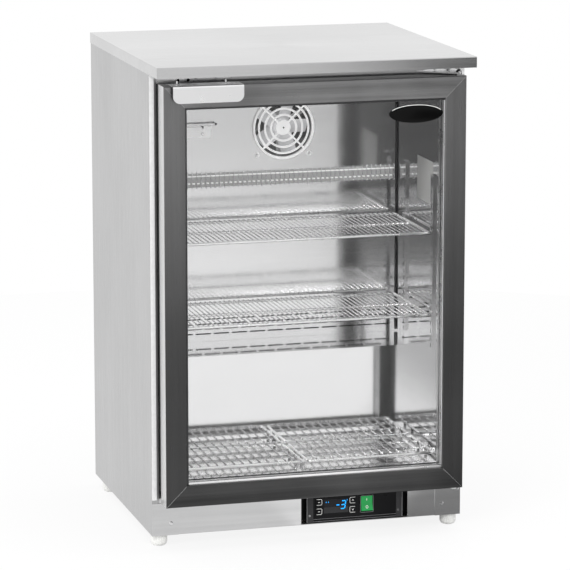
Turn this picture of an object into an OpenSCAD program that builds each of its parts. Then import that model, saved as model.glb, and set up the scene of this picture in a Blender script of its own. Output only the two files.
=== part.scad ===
// Glass-door under-counter fridge: insulated steel cabinet under a folded worktop,
// mitred glass door on the right, fan-blown cooling behind a removable back panel,
// and the compressor bay under the step at the rear.
// Origin: middle of the footprint, on the floor. +Z up, the door faces -Y.

/* [Overall] */
// Width of the worktop
overall_w = 600; // [500:1:720]
// Depth of the worktop, front edge to back edge
overall_d = 550; // [500:1:700]
// Height from the floor to the top of the worktop
overall_h = 900; // [740:1:1080]
// Thickness of the worktop
worktop_t = 20; // [16:1:40]
// How far the cabinet front stands behind the worktop front edge
cabinet_setback = 68; // [60:1:90]
// Overhang of the worktop past each side panel
side_overhang = 1; // [0.5:0.5:5]
// Gap between the worktop back edge and the cabinet back
back_overhang = 1; // [0.5:0.5:5]

/* [Cabinet] */
// Thickness of the outer sheet metal
sheet_t = 1; // [0.6:0.1:1.5]
// Width of the folded edge of a side panel
side_flange = 14; // [10:1:18]
// Side wall, outer face to inner face
side_wall_t = 37; // [30:1:50]
// Top wall, worktop underside to ceiling
top_wall_t = 35; // [28:1:50]
// Back wall behind the evaporator duct
back_wall_t = 45; // [35:1:60]
// Foam between the machine bay and the storage space
bay_wall_t = 35; // [28:1:45]
// Thickness of the inner liner
liner_t = 1; // [0.6:0.1:1.5]
// Depth of the air duct behind the fan panel
duct_d = 144; // [130:1:170]
// Inside depth of the machine bay under the step
machine_d = 281; // [260:1:320]
// Height of the step above the storage floor
step_h = 193; // [185:1:260]
// Height of the front opening's sill above the door's lower edge
sill_h = 38; // [34:1:50]

/* [Door] */
// How far the door front stands behind the worktop front edge
door_setback = 12; // [11:0.5:18]
// Thickness of the door frame
door_t = 40; // [36:1:48]
// Width of each frame bar, seen from the front
bar_w = 40; // [34:1:60]
// Wall of the hollow frame bars
bar_wall = 2.5; // [1.5:0.1:3]
// Gap between the door edge and the cabinet side
door_side_gap = 14; // [13:1:20]
// Gap between the door top and the worktop underside
door_top_gap = 16; // [15:1:24]
// Height of the strip below the door
fascia_h = 66; // [60:1:100]
// Thickness of one glass pane
pane_t = 4; // [3:0.5:6]
// Air gap between the two panes
pane_gap = 16; // [10:1:18]
// How far the outer pane is set back in the frame
pane_setback = 5; // [4:0.5:8]
// How deep the glass sits in the frame bars
glass_bite = 12; // [10:1:16]
// Width of the magnetic gasket
gasket_w = 16; // [12:1:20]
// Distance of the hinge pins from the door's right edge
pin_inset = 8; // [7:0.5:12]
// Diameter of the hinge pins
pin_d = 8; // [5:0.5:10]
// Radial play of a pin in its bore
pin_play = 0.05; // [0.02:0.01:0.1]

/* [Handle] */
// Width of the handle lip
handle_w = 131; // [80:1:200]
// Height of the handle lip
handle_h = 31; // [24:1:45]
// Thickness of the handle sheet
handle_t = 1.2; // [1:0.1:2]
// Distance of the handle from the door's left edge
handle_inset = 15; // [10:1:60]
// Finger gap between lip and door
handle_gap = 10; // [8:0.5:10.5]

/* [Shelves] */
// Height of the lower shelf above the step
shelf_rise = 79; // [60:1:120]
// Distance between the two shelves
shelf_pitch = 157; // [100:1:200]
// Gap between a shelf and the fan panel
shelf_back_gap = 22; // [20:1:40]
// Gap between the shelf front and the opening
shelf_front_gap = 54; // [40:1:90]
// Gap between a shelf end and the side wall
shelf_side_gap = 8.5; // [8.5:0.5:12]
// Diameter of the rim wires
rim_wire_d = 5; // [4:0.5:6]
// Diameter of the shelf wires
fine_wire_d = 2.4; // [1.8:0.1:3]
// Spacing of the shelf wires
fine_pitch = 9.3; // [7:0.1:14]
// Height of the floor racks above the storage floor
rack_rise = 14; // [10:1:30]
// Diameter of the floor rack wires
rack_wire_d = 3; // [2:0.1:4]
// Spacing of the floor rack wires
rack_pitch = 15.5; // [10:0.5:20]
// Gap between the floor racks and the opening
rack_front_gap = 20; // [15:1:40]
// Spacing of the holes in the shelf supports
hole_pitch = 14; // [12:1:20]

/* [Cold air] */
// Diameter of the fan opening
fan_d = 112; // [90:1:130]
// Sideways place of the fan
fan_x = 33; // [-60:1:60]
// Depth of the fan centre below the ceiling
fan_drop = 116; // [80:1:130]
// Height of the air return grille
grille_h = 33; // [24:1:50]
// Top of the air return grille below the ceiling
grille_drop = 195; // [185:1:260]
// Spacing of the air return wires
grille_pitch = 9; // [7:0.5:14]
// Length of an air slot above the step
slot_l = 31; // [20:1:40]
// Height of an air slot above the step
slot_h = 2.6; // [2:0.1:5]

/* [Controls] */
// Left edge of the control panel
ctrl_x = -2; // [-60:1:20]
// Width of the control panel
ctrl_w = 186; // [180:1:220]
// Open strip left and right of the control panel
ctrl_gap = 11; // [6:1:16]
// Width of the controller bezel
bezel_w = 78; // [74:1:84]
// Height of the controller bezel
bezel_h = 36; // [33:1:40]
// Travel of a key
key_travel = 0.8; // [0.4:0.1:1]
// Tilt of the rocker switch each way
rocker_tilt = 8; // [5:1:9]

/* [Feet] */
// Height of the feet
foot_h = 22; // [20:1:40]
// Diameter of a foot
foot_d = 31; // [24:1:40]
// Diameter of a foot's threaded stud
stud_d = 10; // [8:1:12]

/* [Hidden] */
$fn = 48;

// Play between neighbours: pieces that move stay clear, pieces that are fixed nearly touch
play = 0.3;
fit_gap = 0.1;
cut = 1;

// Cabinet shell
cab_hw = overall_w / 2 - side_overhang;
cab_front = -overall_d / 2 + cabinet_setback;
cab_back = overall_d / 2 - back_overhang;
cab_bottom = foot_h;
cab_top = overall_h - worktop_t;
in_shell = cab_hw - sheet_t;
rear_y = cab_back - 2 * sheet_t;

// Door
door_hw = cab_hw - door_side_gap;
door_front = -overall_d / 2 + door_setback;
door_back = door_front + door_t;
door_z0 = cab_bottom + fascia_h;
door_z1 = cab_top - door_top_gap;
pin_x = door_hw - pin_inset;
pin_y = (door_front + door_back) / 2;
glass_v0 = pane_setback;
glass_v1 = glass_v0 + 2 * pane_t + pane_gap;
pane_hw = door_hw - bar_w + glass_bite - cut;
pane_z0 = door_z0 + bar_w - glass_bite + cut;
pane_z1 = door_z1 - bar_w + glass_bite - cut;
gasket_play = 0.5;

// Storage space
in_hw = cab_hw - side_wall_t;
in_floor = door_z0 + sill_h;
in_top = cab_top - top_wall_t;
liner_back = cab_back - back_wall_t;
panel_y = liner_back - duct_d;
panel_t = 1.2;
bay_front = rear_y - machine_d + 2 * sheet_t;
step_y = bay_front - bay_wall_t - liner_t;
ledge_z = in_floor + step_h;
bay_roof = ledge_z - liner_t - bay_wall_t;
foam_z0 = in_floor - liner_t - bay_wall_t;

// Shelves and racks
shelf_hw = in_hw - shelf_side_gap - rim_wire_d / 2;
shelf_y0 = cab_front + shelf_front_gap;
shelf_y1 = panel_y - shelf_back_gap;
shelf_lower_z = ledge_z + shelf_rise;
shelf_upper_z = shelf_lower_z + shelf_pitch;
pilaster_w = 16;
pilaster_d = 4;
pilaster_l = 344;
clip_hw = 6;
pilaster_front_y = shelf_y0 + rim_wire_d / 2 + play + clip_hw;
pilaster_rear_y = shelf_y1 - 38;
rack_y0 = cab_front + rack_front_gap;
rack_y1 = step_y - 8;
rack_z = in_floor + rack_rise;
rack_gap = 6;

// Cold air
fan_z = in_top - fan_drop;
fan_r = fan_d / 2;
blade_clear = 4;
blade_depth = 16;
grille_z1 = in_top - grille_drop;
grille_z0 = grille_z1 - grille_h;
slot_rows = 4;
slot_row_pitch = 9.5;
slot_period = slot_l + 5;
slot_z = ledge_z + 15;

// Controls
ctrl_z0 = cab_bottom + 3;
ctrl_z1 = door_z0 - 2;
ctrl_t = 2;
flange_l = 12;
bezel_x = ctrl_x + 17;
bezel_z = cab_bottom + 15;
bezel_proud = 2;
key_w = 9;
key_h = 7;
key_inset_x = 6;
key_inset_z = 9;
key_proud = 0.4;
switch_w = 27;
switch_l = 34;
switch_x = ctrl_x + 116.5;
switch_z = bezel_z + bezel_h / 2;
switch_wall = 2;
rocker_hw = switch_w / 2 - switch_wall - 0.4;
rocker_hl = switch_l / 2 - switch_wall - 1.1;
rocker_y = cab_front + 4;
trunnion_d = 3;

// Machine bay
bay_floor = cab_bottom + sheet_t;
comp_x = -150;
comp_y = (bay_front + rear_y) / 2;
comp_r = 75;
cond_x = 140;
cond_w = 230;
cond_h = 200;
cond_d = 46;
cond_y = rear_y - cond_d - 12;
cond_fan_r = 76;
cond_fan_z = bay_floor + 12 + cond_h / 2;
gland_x = -cab_hw + 60;
gland_z = cab_bottom + 50;
gland_bore = 9;

// Hinges and corner plates
hinge_l = 80;
hinge_t = 2.5;
hinge_lift = 2;
upper_plate_z = door_z1 + hinge_lift;
lower_plate_z = door_z0 - hinge_lift - hinge_t;
plate_w = 50;
plate_t = 1.2;
plate_z = [cab_bottom, lower_plate_z - fit_gap];

// Fan guard
guard_wire = 2.6;
guard_eye_r = fan_r + 17;

// Screws, each as [x, y under its head, z, head diameter]
screw_head = 1.8;
screw_stub = 0.9;
top_screw_z = upper_plate_z + hinge_t + 4;
corner_screws = [for (s = [-1, 1]) [s * (cab_hw - 36), cab_front - plate_t, cab_bottom + 22, 8]];
control_screws = [for (x = [ctrl_x + 5, ctrl_x + ctrl_w - 8], z = [ctrl_z0 + 14, ctrl_z1 - 8]) [x, cab_front, z, 5]];
frame_screws = [for (x = [-door_hw + 55, -door_hw + 74]) [x, cab_front, top_screw_z, 7]];
hinge_screws = [for (x = [door_hw - hinge_l + 12, door_hw - hinge_l + 36], z = [top_screw_z, door_z0 + 6])
    [x, cab_front - hinge_t, z, 7]];
guard_screws = [for (a = [45:90:315])
    [fan_x + guard_eye_r * cos(a), panel_y - guard_wire * 0.8, fan_z + guard_eye_r * sin(a), 7]];
panel_screws = [for (s = [-1, 1], z = [grille_z1 + 28, ledge_z + 70, in_top - 25]) [s * (in_hw - 8), panel_y, z, 7]];
probe_screws = [for (x = [-in_hw + 76, -in_hw + 136]) [x, panel_y - 1.5, fan_z - 6, 6]];
cover_screws = [for (s = [-1, 1], z = [bay_floor + 20, bay_roof - 20]) [s * (in_shell - 30), rear_y + sheet_t, z, 7]];

// Feet
foot_x = cab_hw - foot_d / 2 - 2;
foot_front_y = cab_front + foot_d / 2 + 4;
foot_rear_y = cab_back - foot_d / 2 - 40;
boss_h = 10;

// ---- shared shapes ----

module box(x, y, z) {
    translate([x[0], y[0], z[0]]) cube([x[1] - x[0], y[1] - y[0], z[1] - z[0]]);
}

// Extrudes a drawing in the XZ plane towards +Y, from y0 over t
module upright(y0, t) {
    translate([0, y0 + t, 0]) rotate([90, 0, 0]) linear_extrude(t) children();
}

module rod_x(x0, x1, y, z, d, sides = 8) {
    translate([x0, y, z]) rotate([0, 90, 0]) rotate([0, 0, 180 / sides]) cylinder(d = d, h = x1 - x0, $fn = sides);
}

module rod_y(y0, y1, x, z, d, sides = 8) {
    translate([x, y1, z]) rotate([90, 0, 0]) rotate([0, 0, 180 / sides]) cylinder(d = d, h = y1 - y0, $fn = sides);
}

module rod_z(z0, z1, x, y, d, sides = 8) {
    translate([x, y, z0]) rotate([0, 0, 180 / sides]) cylinder(d = d, h = z1 - z0, $fn = sides);
}

// Flat rectangle drawn from corner to corner
module rect(x, y) {
    translate([x[0], y[0]]) square([x[1] - x[0], y[1] - y[0]]);
}

// Slot with round ends, centred
module slot2d(l, h) {
    square([l - h, h], center = true);
    for (s = [-1, 1]) translate([s * (l - h) / 2, 0]) circle(d = h, $fn = 24);
}

// Pan head screw with a stub of its shank; its head rests on p and points to -Y
module screw(p) {
    d = p[3];
    translate([p[0], p[1], p[2]]) rotate([90, 0, 0]) difference() {
        union() {
            cylinder(d1 = d, d2 = d * 0.7, h = screw_head);
            translate([0, 0, -screw_stub]) cylinder(d = d / 2, h = screw_stub + 0.1);
        }
        translate([-d / 4, -0.5, screw_head / 2]) cube([d / 2, 1, 2]);
        translate([-0.5, -d / 4, screw_head / 2]) cube([1, d / 2, 2]);
    }
}

// Clearance holes along Y for a list of screws
module screw_holes(places) {
    for (p = places) translate([p[0], p[1], p[2]]) rotate([90, 0, 0])
        cylinder(d = p[3] / 2 + 2 * pin_play, h = 8, center = true);
}

// ---- cabinet ----

module worktop() {
    edge_r = 1.5;
    hd = overall_d / 2;
    color("gainsboro")
        translate([-overall_w / 2, 0, cab_top]) rotate([90, 0, 90]) linear_extrude(overall_w)
            polygon(concat([[-hd, 0], [hd, 0]],
                [for (a = [0:15:90]) [hd - edge_r + edge_r * cos(a), worktop_t - edge_r + edge_r * sin(a)]],
                [for (a = [90:15:180]) [-hd + edge_r + edge_r * cos(a), worktop_t - edge_r + edge_r * sin(a)]]));
}

// Folded side sheet with an edge at the front and one at the back
module side_panel(s) {
    edge = cab_hw - side_flange;
    color("silver") translate([0, 0, cab_bottom]) linear_extrude(cab_top - cab_bottom)
        polygon([for (p = [[edge, cab_front], [cab_hw, cab_front], [cab_hw, cab_back], [edge, cab_back],
            [edge, cab_back - sheet_t], [in_shell, cab_back - sheet_t], [in_shell, cab_front + sheet_t],
            [edge, cab_front + sheet_t]]) [s * p[0], p[1]]]);
}
module side_panel_left() { side_panel(-1); }
module side_panel_right() { side_panel(1); }

module rear_panel() {
    color("silver")
        box([-in_shell + fit_gap, in_shell - fit_gap], [rear_y, rear_y + sheet_t], [bay_roof, cab_top]);
}

module rear_cover() {
    cols = 3;
    vent_l = (2 * in_shell - 100) / cols - 20;
    rows = floor((bay_roof - bay_floor - 90) / 14);
    color("silver") upright(rear_y, sheet_t) difference() {
        rect([-in_shell + fit_gap, in_shell - fit_gap], [bay_floor, bay_roof - fit_gap]);
        for (c = [0:cols - 1], r = [0:rows - 1])
            translate([(c - (cols - 1) / 2) * (vent_l + 20), bay_floor + 80 + r * 14]) slot2d(vent_l, 6);
        translate([gland_x, gland_z]) circle(d = gland_bore + 7);
        for (p = cover_screws) translate([p[0], p[2]]) circle(d = p[3] / 2 + 2 * pin_play);
    }
}

module base_pan() {
    lip = 15;
    w = in_shell - fit_gap;
    y0 = cab_front + sheet_t + fit_gap;
    color("lightgray") difference() {
        union() {
            box([-w, w], [y0, rear_y], [cab_bottom, bay_floor]);
            for (s = [-1, 1]) mirror([s < 0 ? 1 : 0, 0, 0])
                box([w - sheet_t, w], [y0, rear_y], [bay_floor, bay_floor + lip]);
            foot_places() translate([0, 0, bay_floor]) cylinder(d = stud_d + 8, h = boss_h, $fn = 6);
        }
        foot_places() translate([0, 0, cab_bottom - cut])
            cylinder(d = stud_d + 2 * pin_play, h = boss_h + sheet_t + 2 * cut);
    }
}

// Side view of the insulated body, front at the left
module foam_outline() {
    polygon([[cab_front + sheet_t, foam_z0], [bay_front, foam_z0], [bay_front, bay_roof],
        [rear_y, bay_roof], [rear_y, cab_top], [cab_front + sheet_t, cab_top]]);
}

// Side view of the storage space grown by g, from the y of its front
module space_outline(g, front) {
    polygon([[front, in_floor - g], [step_y + g, in_floor - g], [step_y + g, ledge_z - g],
        [liner_back + g, ledge_z - g], [liner_back + g, in_top + g], [front, in_top + g]]);
}

// Extrudes a side view across the width, out to hw each way
module across(hw) {
    translate([-hw, 0, 0]) rotate([90, 0, 90]) linear_extrude(2 * hw) children();
}

module foam_insulation() {
    color("khaki") difference() {
        across(in_shell) foam_outline();
        across(in_hw + liner_t) space_outline(liner_t, cab_front - cut);
    }
}

module inner_liner() {
    color("whitesmoke") difference() {
        across(in_hw + liner_t) space_outline(liner_t, cab_front + sheet_t);
        across(in_hw) space_outline(0, cab_front - cut);
    }
}

module face_frame() {
    w = cab_hw - side_flange - fit_gap;
    color("silver") upright(cab_front, sheet_t) difference() {
        rect([-w, w], [foam_z0, cab_top]);
        rect([-in_hw, in_hw], [in_floor, in_top]);
        for (p = frame_screws) translate([p[0], p[2]]) circle(d = p[3] / 2 + 2 * pin_play);
    }
}

// ---- strip below the door ----

module corner_plate(s) {
    color("silver") difference() {
        mirror([s < 0 ? 1 : 0, 0, 0])
            box([cab_hw - plate_w, cab_hw - fit_gap], [cab_front - plate_t, cab_front], plate_z);
        screw_holes(corner_screws);
    }
}
module corner_plate_left() { corner_plate(-1); }
module corner_plate_right() { corner_plate(1); }

// Folded strip with a lip along its top and bottom
module fascia(x) {
    lip = 10;
    z0 = cab_bottom + sheet_t + fit_gap;
    z1 = foam_z0 - fit_gap;
    color("silver") difference() {
        box(x, [cab_front, cab_front + lip], [z0, z1]);
        box([x[0] - cut, x[1] + cut], [cab_front + sheet_t, cab_front + lip + cut], [z0 + sheet_t, z1 - sheet_t]);
    }
}
module fascia_left() { fascia([-cab_hw + side_flange + fit_gap, ctrl_x - ctrl_gap]); }
module fascia_right() { fascia([ctrl_x + ctrl_w + ctrl_gap, cab_hw - side_flange - fit_gap]); }

// Black moulding: face plate with two screw ends, a box behind and a back plate past the ends
module control_housing() {
    x0 = ctrl_x + flange_l;
    x1 = ctrl_x + ctrl_w - flange_l;
    depth = 45;
    y0 = cab_front + ctrl_t;
    color("#1c1c1e") difference() {
        union() {
            box([ctrl_x, ctrl_x + ctrl_w], [cab_front, y0], [ctrl_z0, ctrl_z1]);
            box([x0, x1], [y0, y0 + depth], [ctrl_z0 + 2, ctrl_z1 - 1]);
            box([ctrl_x - ctrl_gap - 4, ctrl_x + ctrl_w + ctrl_gap + 4], [y0 + 12, y0 + 14],
                [ctrl_z0 + 2, ctrl_z1 - 4]);
            box([x0, x1], [cab_front - 1.2, cab_front], [ctrl_z0, ctrl_z0 + 5]);
        }
        box([x0 + ctrl_t, x1 - ctrl_t], [y0, y0 + depth - ctrl_t], [ctrl_z0 + 4, ctrl_z1 - 3]);
        box([bezel_x + 3, bezel_x + bezel_w - 3], [cab_front - cut, y0 + cut],
            [bezel_z + 3, bezel_z + bezel_h - 3]);
        box([switch_x - switch_w / 2 + 1, switch_x + switch_w / 2 - 1], [cab_front - cut, y0 + cut],
            [switch_z - switch_l / 2 + 1, switch_z + switch_l / 2 - 1]);
        screw_holes(control_screws);
    }
}

function key_x(i) = bezel_x + (i < 2 ? key_inset_x : bezel_w - key_inset_x);
function key_z(i) = bezel_z + (i % 2 == 0 ? key_inset_z : bezel_h - key_inset_z);

// A key that stops short of the face plate when pressed, or with grow its hole through the bezel
module key(i, grow = 0) {
    y0 = cab_front - bezel_proud - (grow > 0 ? cut : key_proud);
    y1 = cab_front - (grow > 0 ? 0 : key_travel + fit_gap);
    box([key_x(i) - key_w / 2 - grow, key_x(i) + key_w / 2 + grow], [y0, y1],
        [key_z(i) - key_h / 2 - grow, key_z(i) + key_h / 2 + grow]);
}

module controller() {
    body_l = 38;
    color("#151517") difference() {
        union() {
            box([bezel_x, bezel_x + bezel_w], [cab_front - bezel_proud, cab_front], [bezel_z, bezel_z + bezel_h]);
            box([bezel_x + 3 + fit_gap, bezel_x + bezel_w - 3 - fit_gap], [cab_front, cab_front + body_l],
                [bezel_z + 3 + fit_gap, bezel_z + bezel_h - 3 - fit_gap]);
        }
        for (i = [0:3]) key(i, 0.3);
        box([bezel_x + 15, bezel_x + bezel_w - 14], [cab_front - bezel_proud - cut, cab_front - bezel_proud + 0.6],
            [bezel_z + 4, bezel_z + bezel_h - 4]);
    }
}
module key_power() { color("dimgray") key(1); }
module key_set() { color("dimgray") key(0); }
module key_up() { color("dimgray") key(3); }
module key_down() { color("dimgray") key(2); }

module switch_frame() {
    hw = switch_w / 2;
    hl = switch_l / 2;
    color("#222222") translate([switch_x, 0, switch_z]) difference() {
        union() {
            box([-hw, hw], [cab_front - bezel_proud, cab_front], [-hl, hl]);
            box([-hw + 1 + fit_gap, hw - 1 - fit_gap], [cab_front, cab_front + 22],
                [-hl + 1 + fit_gap, hl - 1 - fit_gap]);
        }
        box([-hw + switch_wall, hw - switch_wall], [cab_front - bezel_proud - cut, cab_front + 16],
            [-hl + switch_wall, hl - switch_wall]);
        translate([0, rocker_y, 0]) rod_x(-hw, hw, 0, 0, trunnion_d + 2 * pin_play, 32);
    }
}

// Two-faced rocker on a cross pin, shown pressed at the top
module switch_rocker() {
    color("#1fae4b") translate([switch_x, rocker_y, switch_z]) rotate([-rocker_tilt, 0, 0]) {
        rotate([90, 0, 90]) translate([0, 0, -rocker_hw]) linear_extrude(2 * rocker_hw)
            polygon([[-7.4, -rocker_hl], [-5.4, 0], [-7.4, rocker_hl], [2, rocker_hl - 3], [4, 0], [2, -rocker_hl + 3]]);
        rod_x(-rocker_hw - 1.6, rocker_hw + 1.6, 0, 0, trunnion_d, 32);
    }
}

// ---- hinges ----

module hinge_plate(z) {
    x0 = door_hw - hinge_l;
    a = atan2(pin_y - cab_front, pin_x - x0);
    translate([0, 0, z]) linear_extrude(hinge_t) difference() {
        union() {
            polygon([[x0, cab_front], [door_hw, cab_front], [door_hw, pin_y],
                [pin_x + pin_inset * sin(a), pin_y - pin_inset * cos(a)]]);
            translate([pin_x, pin_y]) circle(r = pin_inset);
        }
        translate([pin_x, pin_y]) circle(d = pin_d);
    }
}

module hinge_bracket_upper() {
    color("lightsteelblue") difference() {
        union() {
            hinge_plate(upper_plate_z);
            box([door_hw - hinge_l, door_hw], [cab_front - hinge_t, cab_front], [upper_plate_z, cab_top - 1]);
        }
        screw_holes(hinge_screws);
    }
}
module hinge_bracket_lower() {
    color("lightsteelblue") difference() {
        union() {
            hinge_plate(lower_plate_z);
            box([door_hw - hinge_l, door_hw], [cab_front - hinge_t, cab_front],
                [lower_plate_z, door_z0 + sill_h - gasket_w - 6]);
        }
        screw_holes(hinge_screws);
    }
}

// Pin with a collar against the door and a domed nut past the plate; s is -1 when it points down
module hinge_pin(z_door, s) {
    r = pin_d / 2;
    c = pin_inset - 1;
    nut = hinge_lift + hinge_t;
    color("silver") translate([pin_x, pin_y, z_door]) mirror([0, 0, s < 0 ? 0 : 1]) {
        translate([0, 0, -bar_wall - 8]) cylinder(r = r, h = bar_wall + 8 + nut);
        translate([0, 0, play]) cylinder(r = c, h = hinge_lift - play);
        translate([0, 0, nut]) cylinder(r = c, h = 3, $fn = 6);
        translate([0, 0, nut + 3]) cylinder(r1 = r + 1, r2 = r - 1, h = 2.5);
    }
}
module hinge_pin_upper() { hinge_pin(door_z1, -1); }
module hinge_pin_lower() { hinge_pin(door_z0, 1); }

// ---- door ----

// Section of a frame bar: depth from the door front, then distance in from the outer edge
module bar_section() {
    ch = 1.2;
    bite = bar_w - glass_bite;
    difference() {
        polygon([[ch, 0], [door_t, 0], [door_t, -bar_w], [glass_v1, -bar_w], [glass_v1, -bite],
            [glass_v0, -bite], [glass_v0, -bar_w], [ch, -bar_w], [0, -bar_w + ch], [0, -ch]]);
        rect([bar_wall, door_t - bar_wall], [-bite + bar_wall, -bar_wall]);
    }
}

// Bar along X, outer edge on z = 0, both ends mitred
module door_bar(l) {
    intersection() {
        translate([-l / 2, door_front, 0]) rotate([90, 0, 90]) linear_extrude(l) bar_section();
        upright(door_front - cut, door_t + 2 * cut)
            polygon([[-l / 2, 0], [l / 2, 0], [l / 2 - bar_w, -bar_w], [-l / 2 + bar_w, -bar_w]]);
    }
}

module pin_bore() {
    translate([pin_x, pin_y, door_z0 - cut]) cylinder(d = pin_d + 2 * pin_play, h = bar_wall + 2 * cut);
    translate([pin_x, pin_y, door_z1 - bar_wall - cut]) cylinder(d = pin_d + 2 * pin_play, h = bar_wall + 2 * cut);
}

door_l = door_z1 - door_z0;
door_zm = (door_z0 + door_z1) / 2;

module door_rail_top() {
    color("#3a3a3c") difference() {
        translate([0, 0, door_z1]) door_bar(2 * door_hw);
        pin_bore();
    }
}
module door_rail_bottom() {
    color("#3a3a3c") difference() {
        translate([0, 0, door_z0]) rotate([0, 180, 0]) door_bar(2 * door_hw);
        pin_bore();
    }
}
module door_stile_left() { color("#3a3a3c") translate([-door_hw, 0, door_zm]) rotate([0, -90, 0]) door_bar(door_l); }
module door_stile_right() { color("#3a3a3c") translate([door_hw, 0, door_zm]) rotate([0, 90, 0]) door_bar(door_l); }

module pane(v) {
    color("azure", 0.3) box([-pane_hw, pane_hw], [door_front + v, door_front + v + pane_t], [pane_z0, pane_z1]);
}
module glass_outer() { pane(glass_v0); }
module glass_inner() { pane(glass_v1 - pane_t); }

module glass_spacer() {
    i = 2;
    w = 8;
    color("silver") upright(door_front + glass_v0 + pane_t, pane_gap) difference() {
        rect([-pane_hw + i, pane_hw - i], [pane_z0 + i, pane_z1 - i]);
        rect([-pane_hw + i + w, pane_hw - i - w], [pane_z0 + i + w, pane_z1 - i - w]);
    }
}

// Bellows gasket: a broad magnet face towards the cabinet and a narrow foot in the door
module door_gasket() {
    w = in_hw + 3 + gasket_w;
    z = [in_floor - 4 - gasket_w, in_top + 1 + gasket_w];
    y0 = door_back;
    y1 = cab_front - gasket_play;
    fold = 2.5;
    module ring(y, t, g) {
        upright(y, t) difference() {
            rect([-w + g, w - g], [z[0] + g, z[1] - g]);
            rect([-w + gasket_w - g, w - gasket_w + g], [z[0] + gasket_w - g, z[1] - gasket_w + g]);
        }
    }
    color("#4a4a4c") {
        ring(y0, 5, 1);
        ring(y0 + 5, 3, fold);
        ring(y0 + 8, y1 - y0 - 8, 0);
    }
}

// Bent lip: screwed on the door top, hanging in front of the door face
module door_handle() {
    x0 = -door_hw + handle_inset;
    y0 = door_front - handle_gap - handle_t;
    z1 = door_z1 + handle_t;
    r = 3;
    corner = 13;
    color("whitesmoke") intersection() {
        translate([x0, 0, 0]) rotate([90, 0, 90]) linear_extrude(handle_w) difference() {
            union() {
                rect([y0 + r, door_front + 28], [z1 - handle_t, z1]);
                rect([y0, y0 + handle_t], [z1 - handle_h, z1 - r]);
                intersection() {
                    translate([y0 + r, z1 - r]) circle(r = r);
                    rect([y0, y0 + r], [z1 - r, z1]);
                }
            }
            translate([y0 + r, z1 - r]) circle(r = r - handle_t);
        }
        upright(y0 - cut, 60) union() {
            rect([x0, x0 + handle_w], [z1 - handle_h + corner, z1]);
            rect([x0 + corner, x0 + handle_w - corner], [z1 - handle_h, z1]);
            for (x = [x0 + corner, x0 + handle_w - corner]) translate([x, z1 - handle_h + corner]) circle(r = corner);
        }
    }
}

// ---- cold air ----

module fan_panel() {
    w = in_hw - fit_gap;
    n = floor((2 * in_hw - 20) / slot_period);
    color("whitesmoke") upright(panel_y, panel_t) difference() {
        rect([-w, w], [ledge_z + fit_gap, in_top - fit_gap]);
        translate([fan_x, fan_z]) circle(r = fan_r);
        rect([-in_hw + 8, in_hw - 8], [grille_z0 + 3, grille_z1 - 3]);
        for (row = [0:slot_rows - 1], i = [0:n - 1 - row % 2])
            translate([(i - (n - 1 - row % 2) / 2) * slot_period, slot_z + row * slot_row_pitch]) slot2d(slot_l, slot_h);
        for (p = panel_screws) translate([p[0], p[2]]) circle(d = p[3] / 2 + 2 * pin_play);
    }
}

// Wire rings welded on four diagonal spokes that end in screw eyes
module fan_guard() {
    ring_y = panel_y - guard_wire * 1.35;
    spoke_y = panel_y - guard_wire / 2;
    color("white") translate([fan_x, 0, fan_z]) {
        for (r = [26, 38, 50, fan_r + 4]) translate([0, ring_y, 0]) rotate([90, 0, 0])
            rotate_extrude($fn = 64) translate([r, 0]) circle(d = guard_wire, $fn = 16);
        for (a = [45:90:315]) rotate([0, a, 0]) rod_x(8, guard_eye_r - 4, spoke_y, 0, guard_wire * 0.8, 16);
        for (a = [45:90:315]) rotate([0, a, 0]) translate([guard_eye_r, panel_y, 0]) rotate([90, 0, 0])
            difference() {
                cylinder(r = 5, h = guard_wire * 0.8);
                translate([0, 0, -cut]) cylinder(r = 2.2, h = 5);
            }
        translate([0, panel_y - 1, 0]) rotate([90, 0, 0]) cylinder(r = 14, h = 3.4);
    }
}

blade_y = panel_y + panel_t + 6;

// Axial fan wheel facing -Y: a hub with n pitched blades, cut to a round tip
module fan_wheel(x, y, z, r, hub_r, depth, n, shaft_d) {
    translate([x, y + depth, z]) rotate([90, 0, 0]) difference() {
        intersection() {
            union() {
                cylinder(r = hub_r, h = depth);
                for (i = [0:n - 1]) rotate([0, 0, i * 360 / n]) translate([hub_r - 3, 0, depth / 2])
                    rotate([32, 0, 0]) translate([0, -r * 0.3, -0.8]) cube([r, r * 0.6, 1.6]);
            }
            cylinder(r = r, h = depth);
        }
        translate([0, 0, -cut]) cylinder(d = shaft_d, h = depth / 2 + cut);
    }
}

shaft_d = 5;

module evap_fan_blade() {
    color("dimgray") fan_wheel(fan_x, blade_y, fan_z, fan_r - blade_clear, 17, blade_depth, 5, shaft_d + 2 * pin_play);
}

// Motor can with its shaft and three straps that reach forward to the fan panel
module evap_fan_motor() {
    y0 = blade_y + blade_depth + 3;
    l = 42;
    r = 30;
    reach = fan_r + 6;
    color("lightgray") translate([fan_x, 0, fan_z]) {
        translate([0, y0 + l, 0]) rotate([90, 0, 0]) cylinder(r = r, h = l);
        rod_y(y0 - 8, y0, 0, 0, shaft_d, 24);
        for (a = [90, 210, 330]) rotate([0, a, 0]) {
            box([r - 3, reach + 4], [y0 + 4, y0 + 6], [-5, 5]);
            box([reach + 2, reach + 4], [panel_y + panel_t, y0 + 6], [-5, 5]);
            box([reach + 2, reach + 12], [panel_y + panel_t, panel_y + panel_t + 2], [-5, 5]);
        }
    }
}

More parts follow.
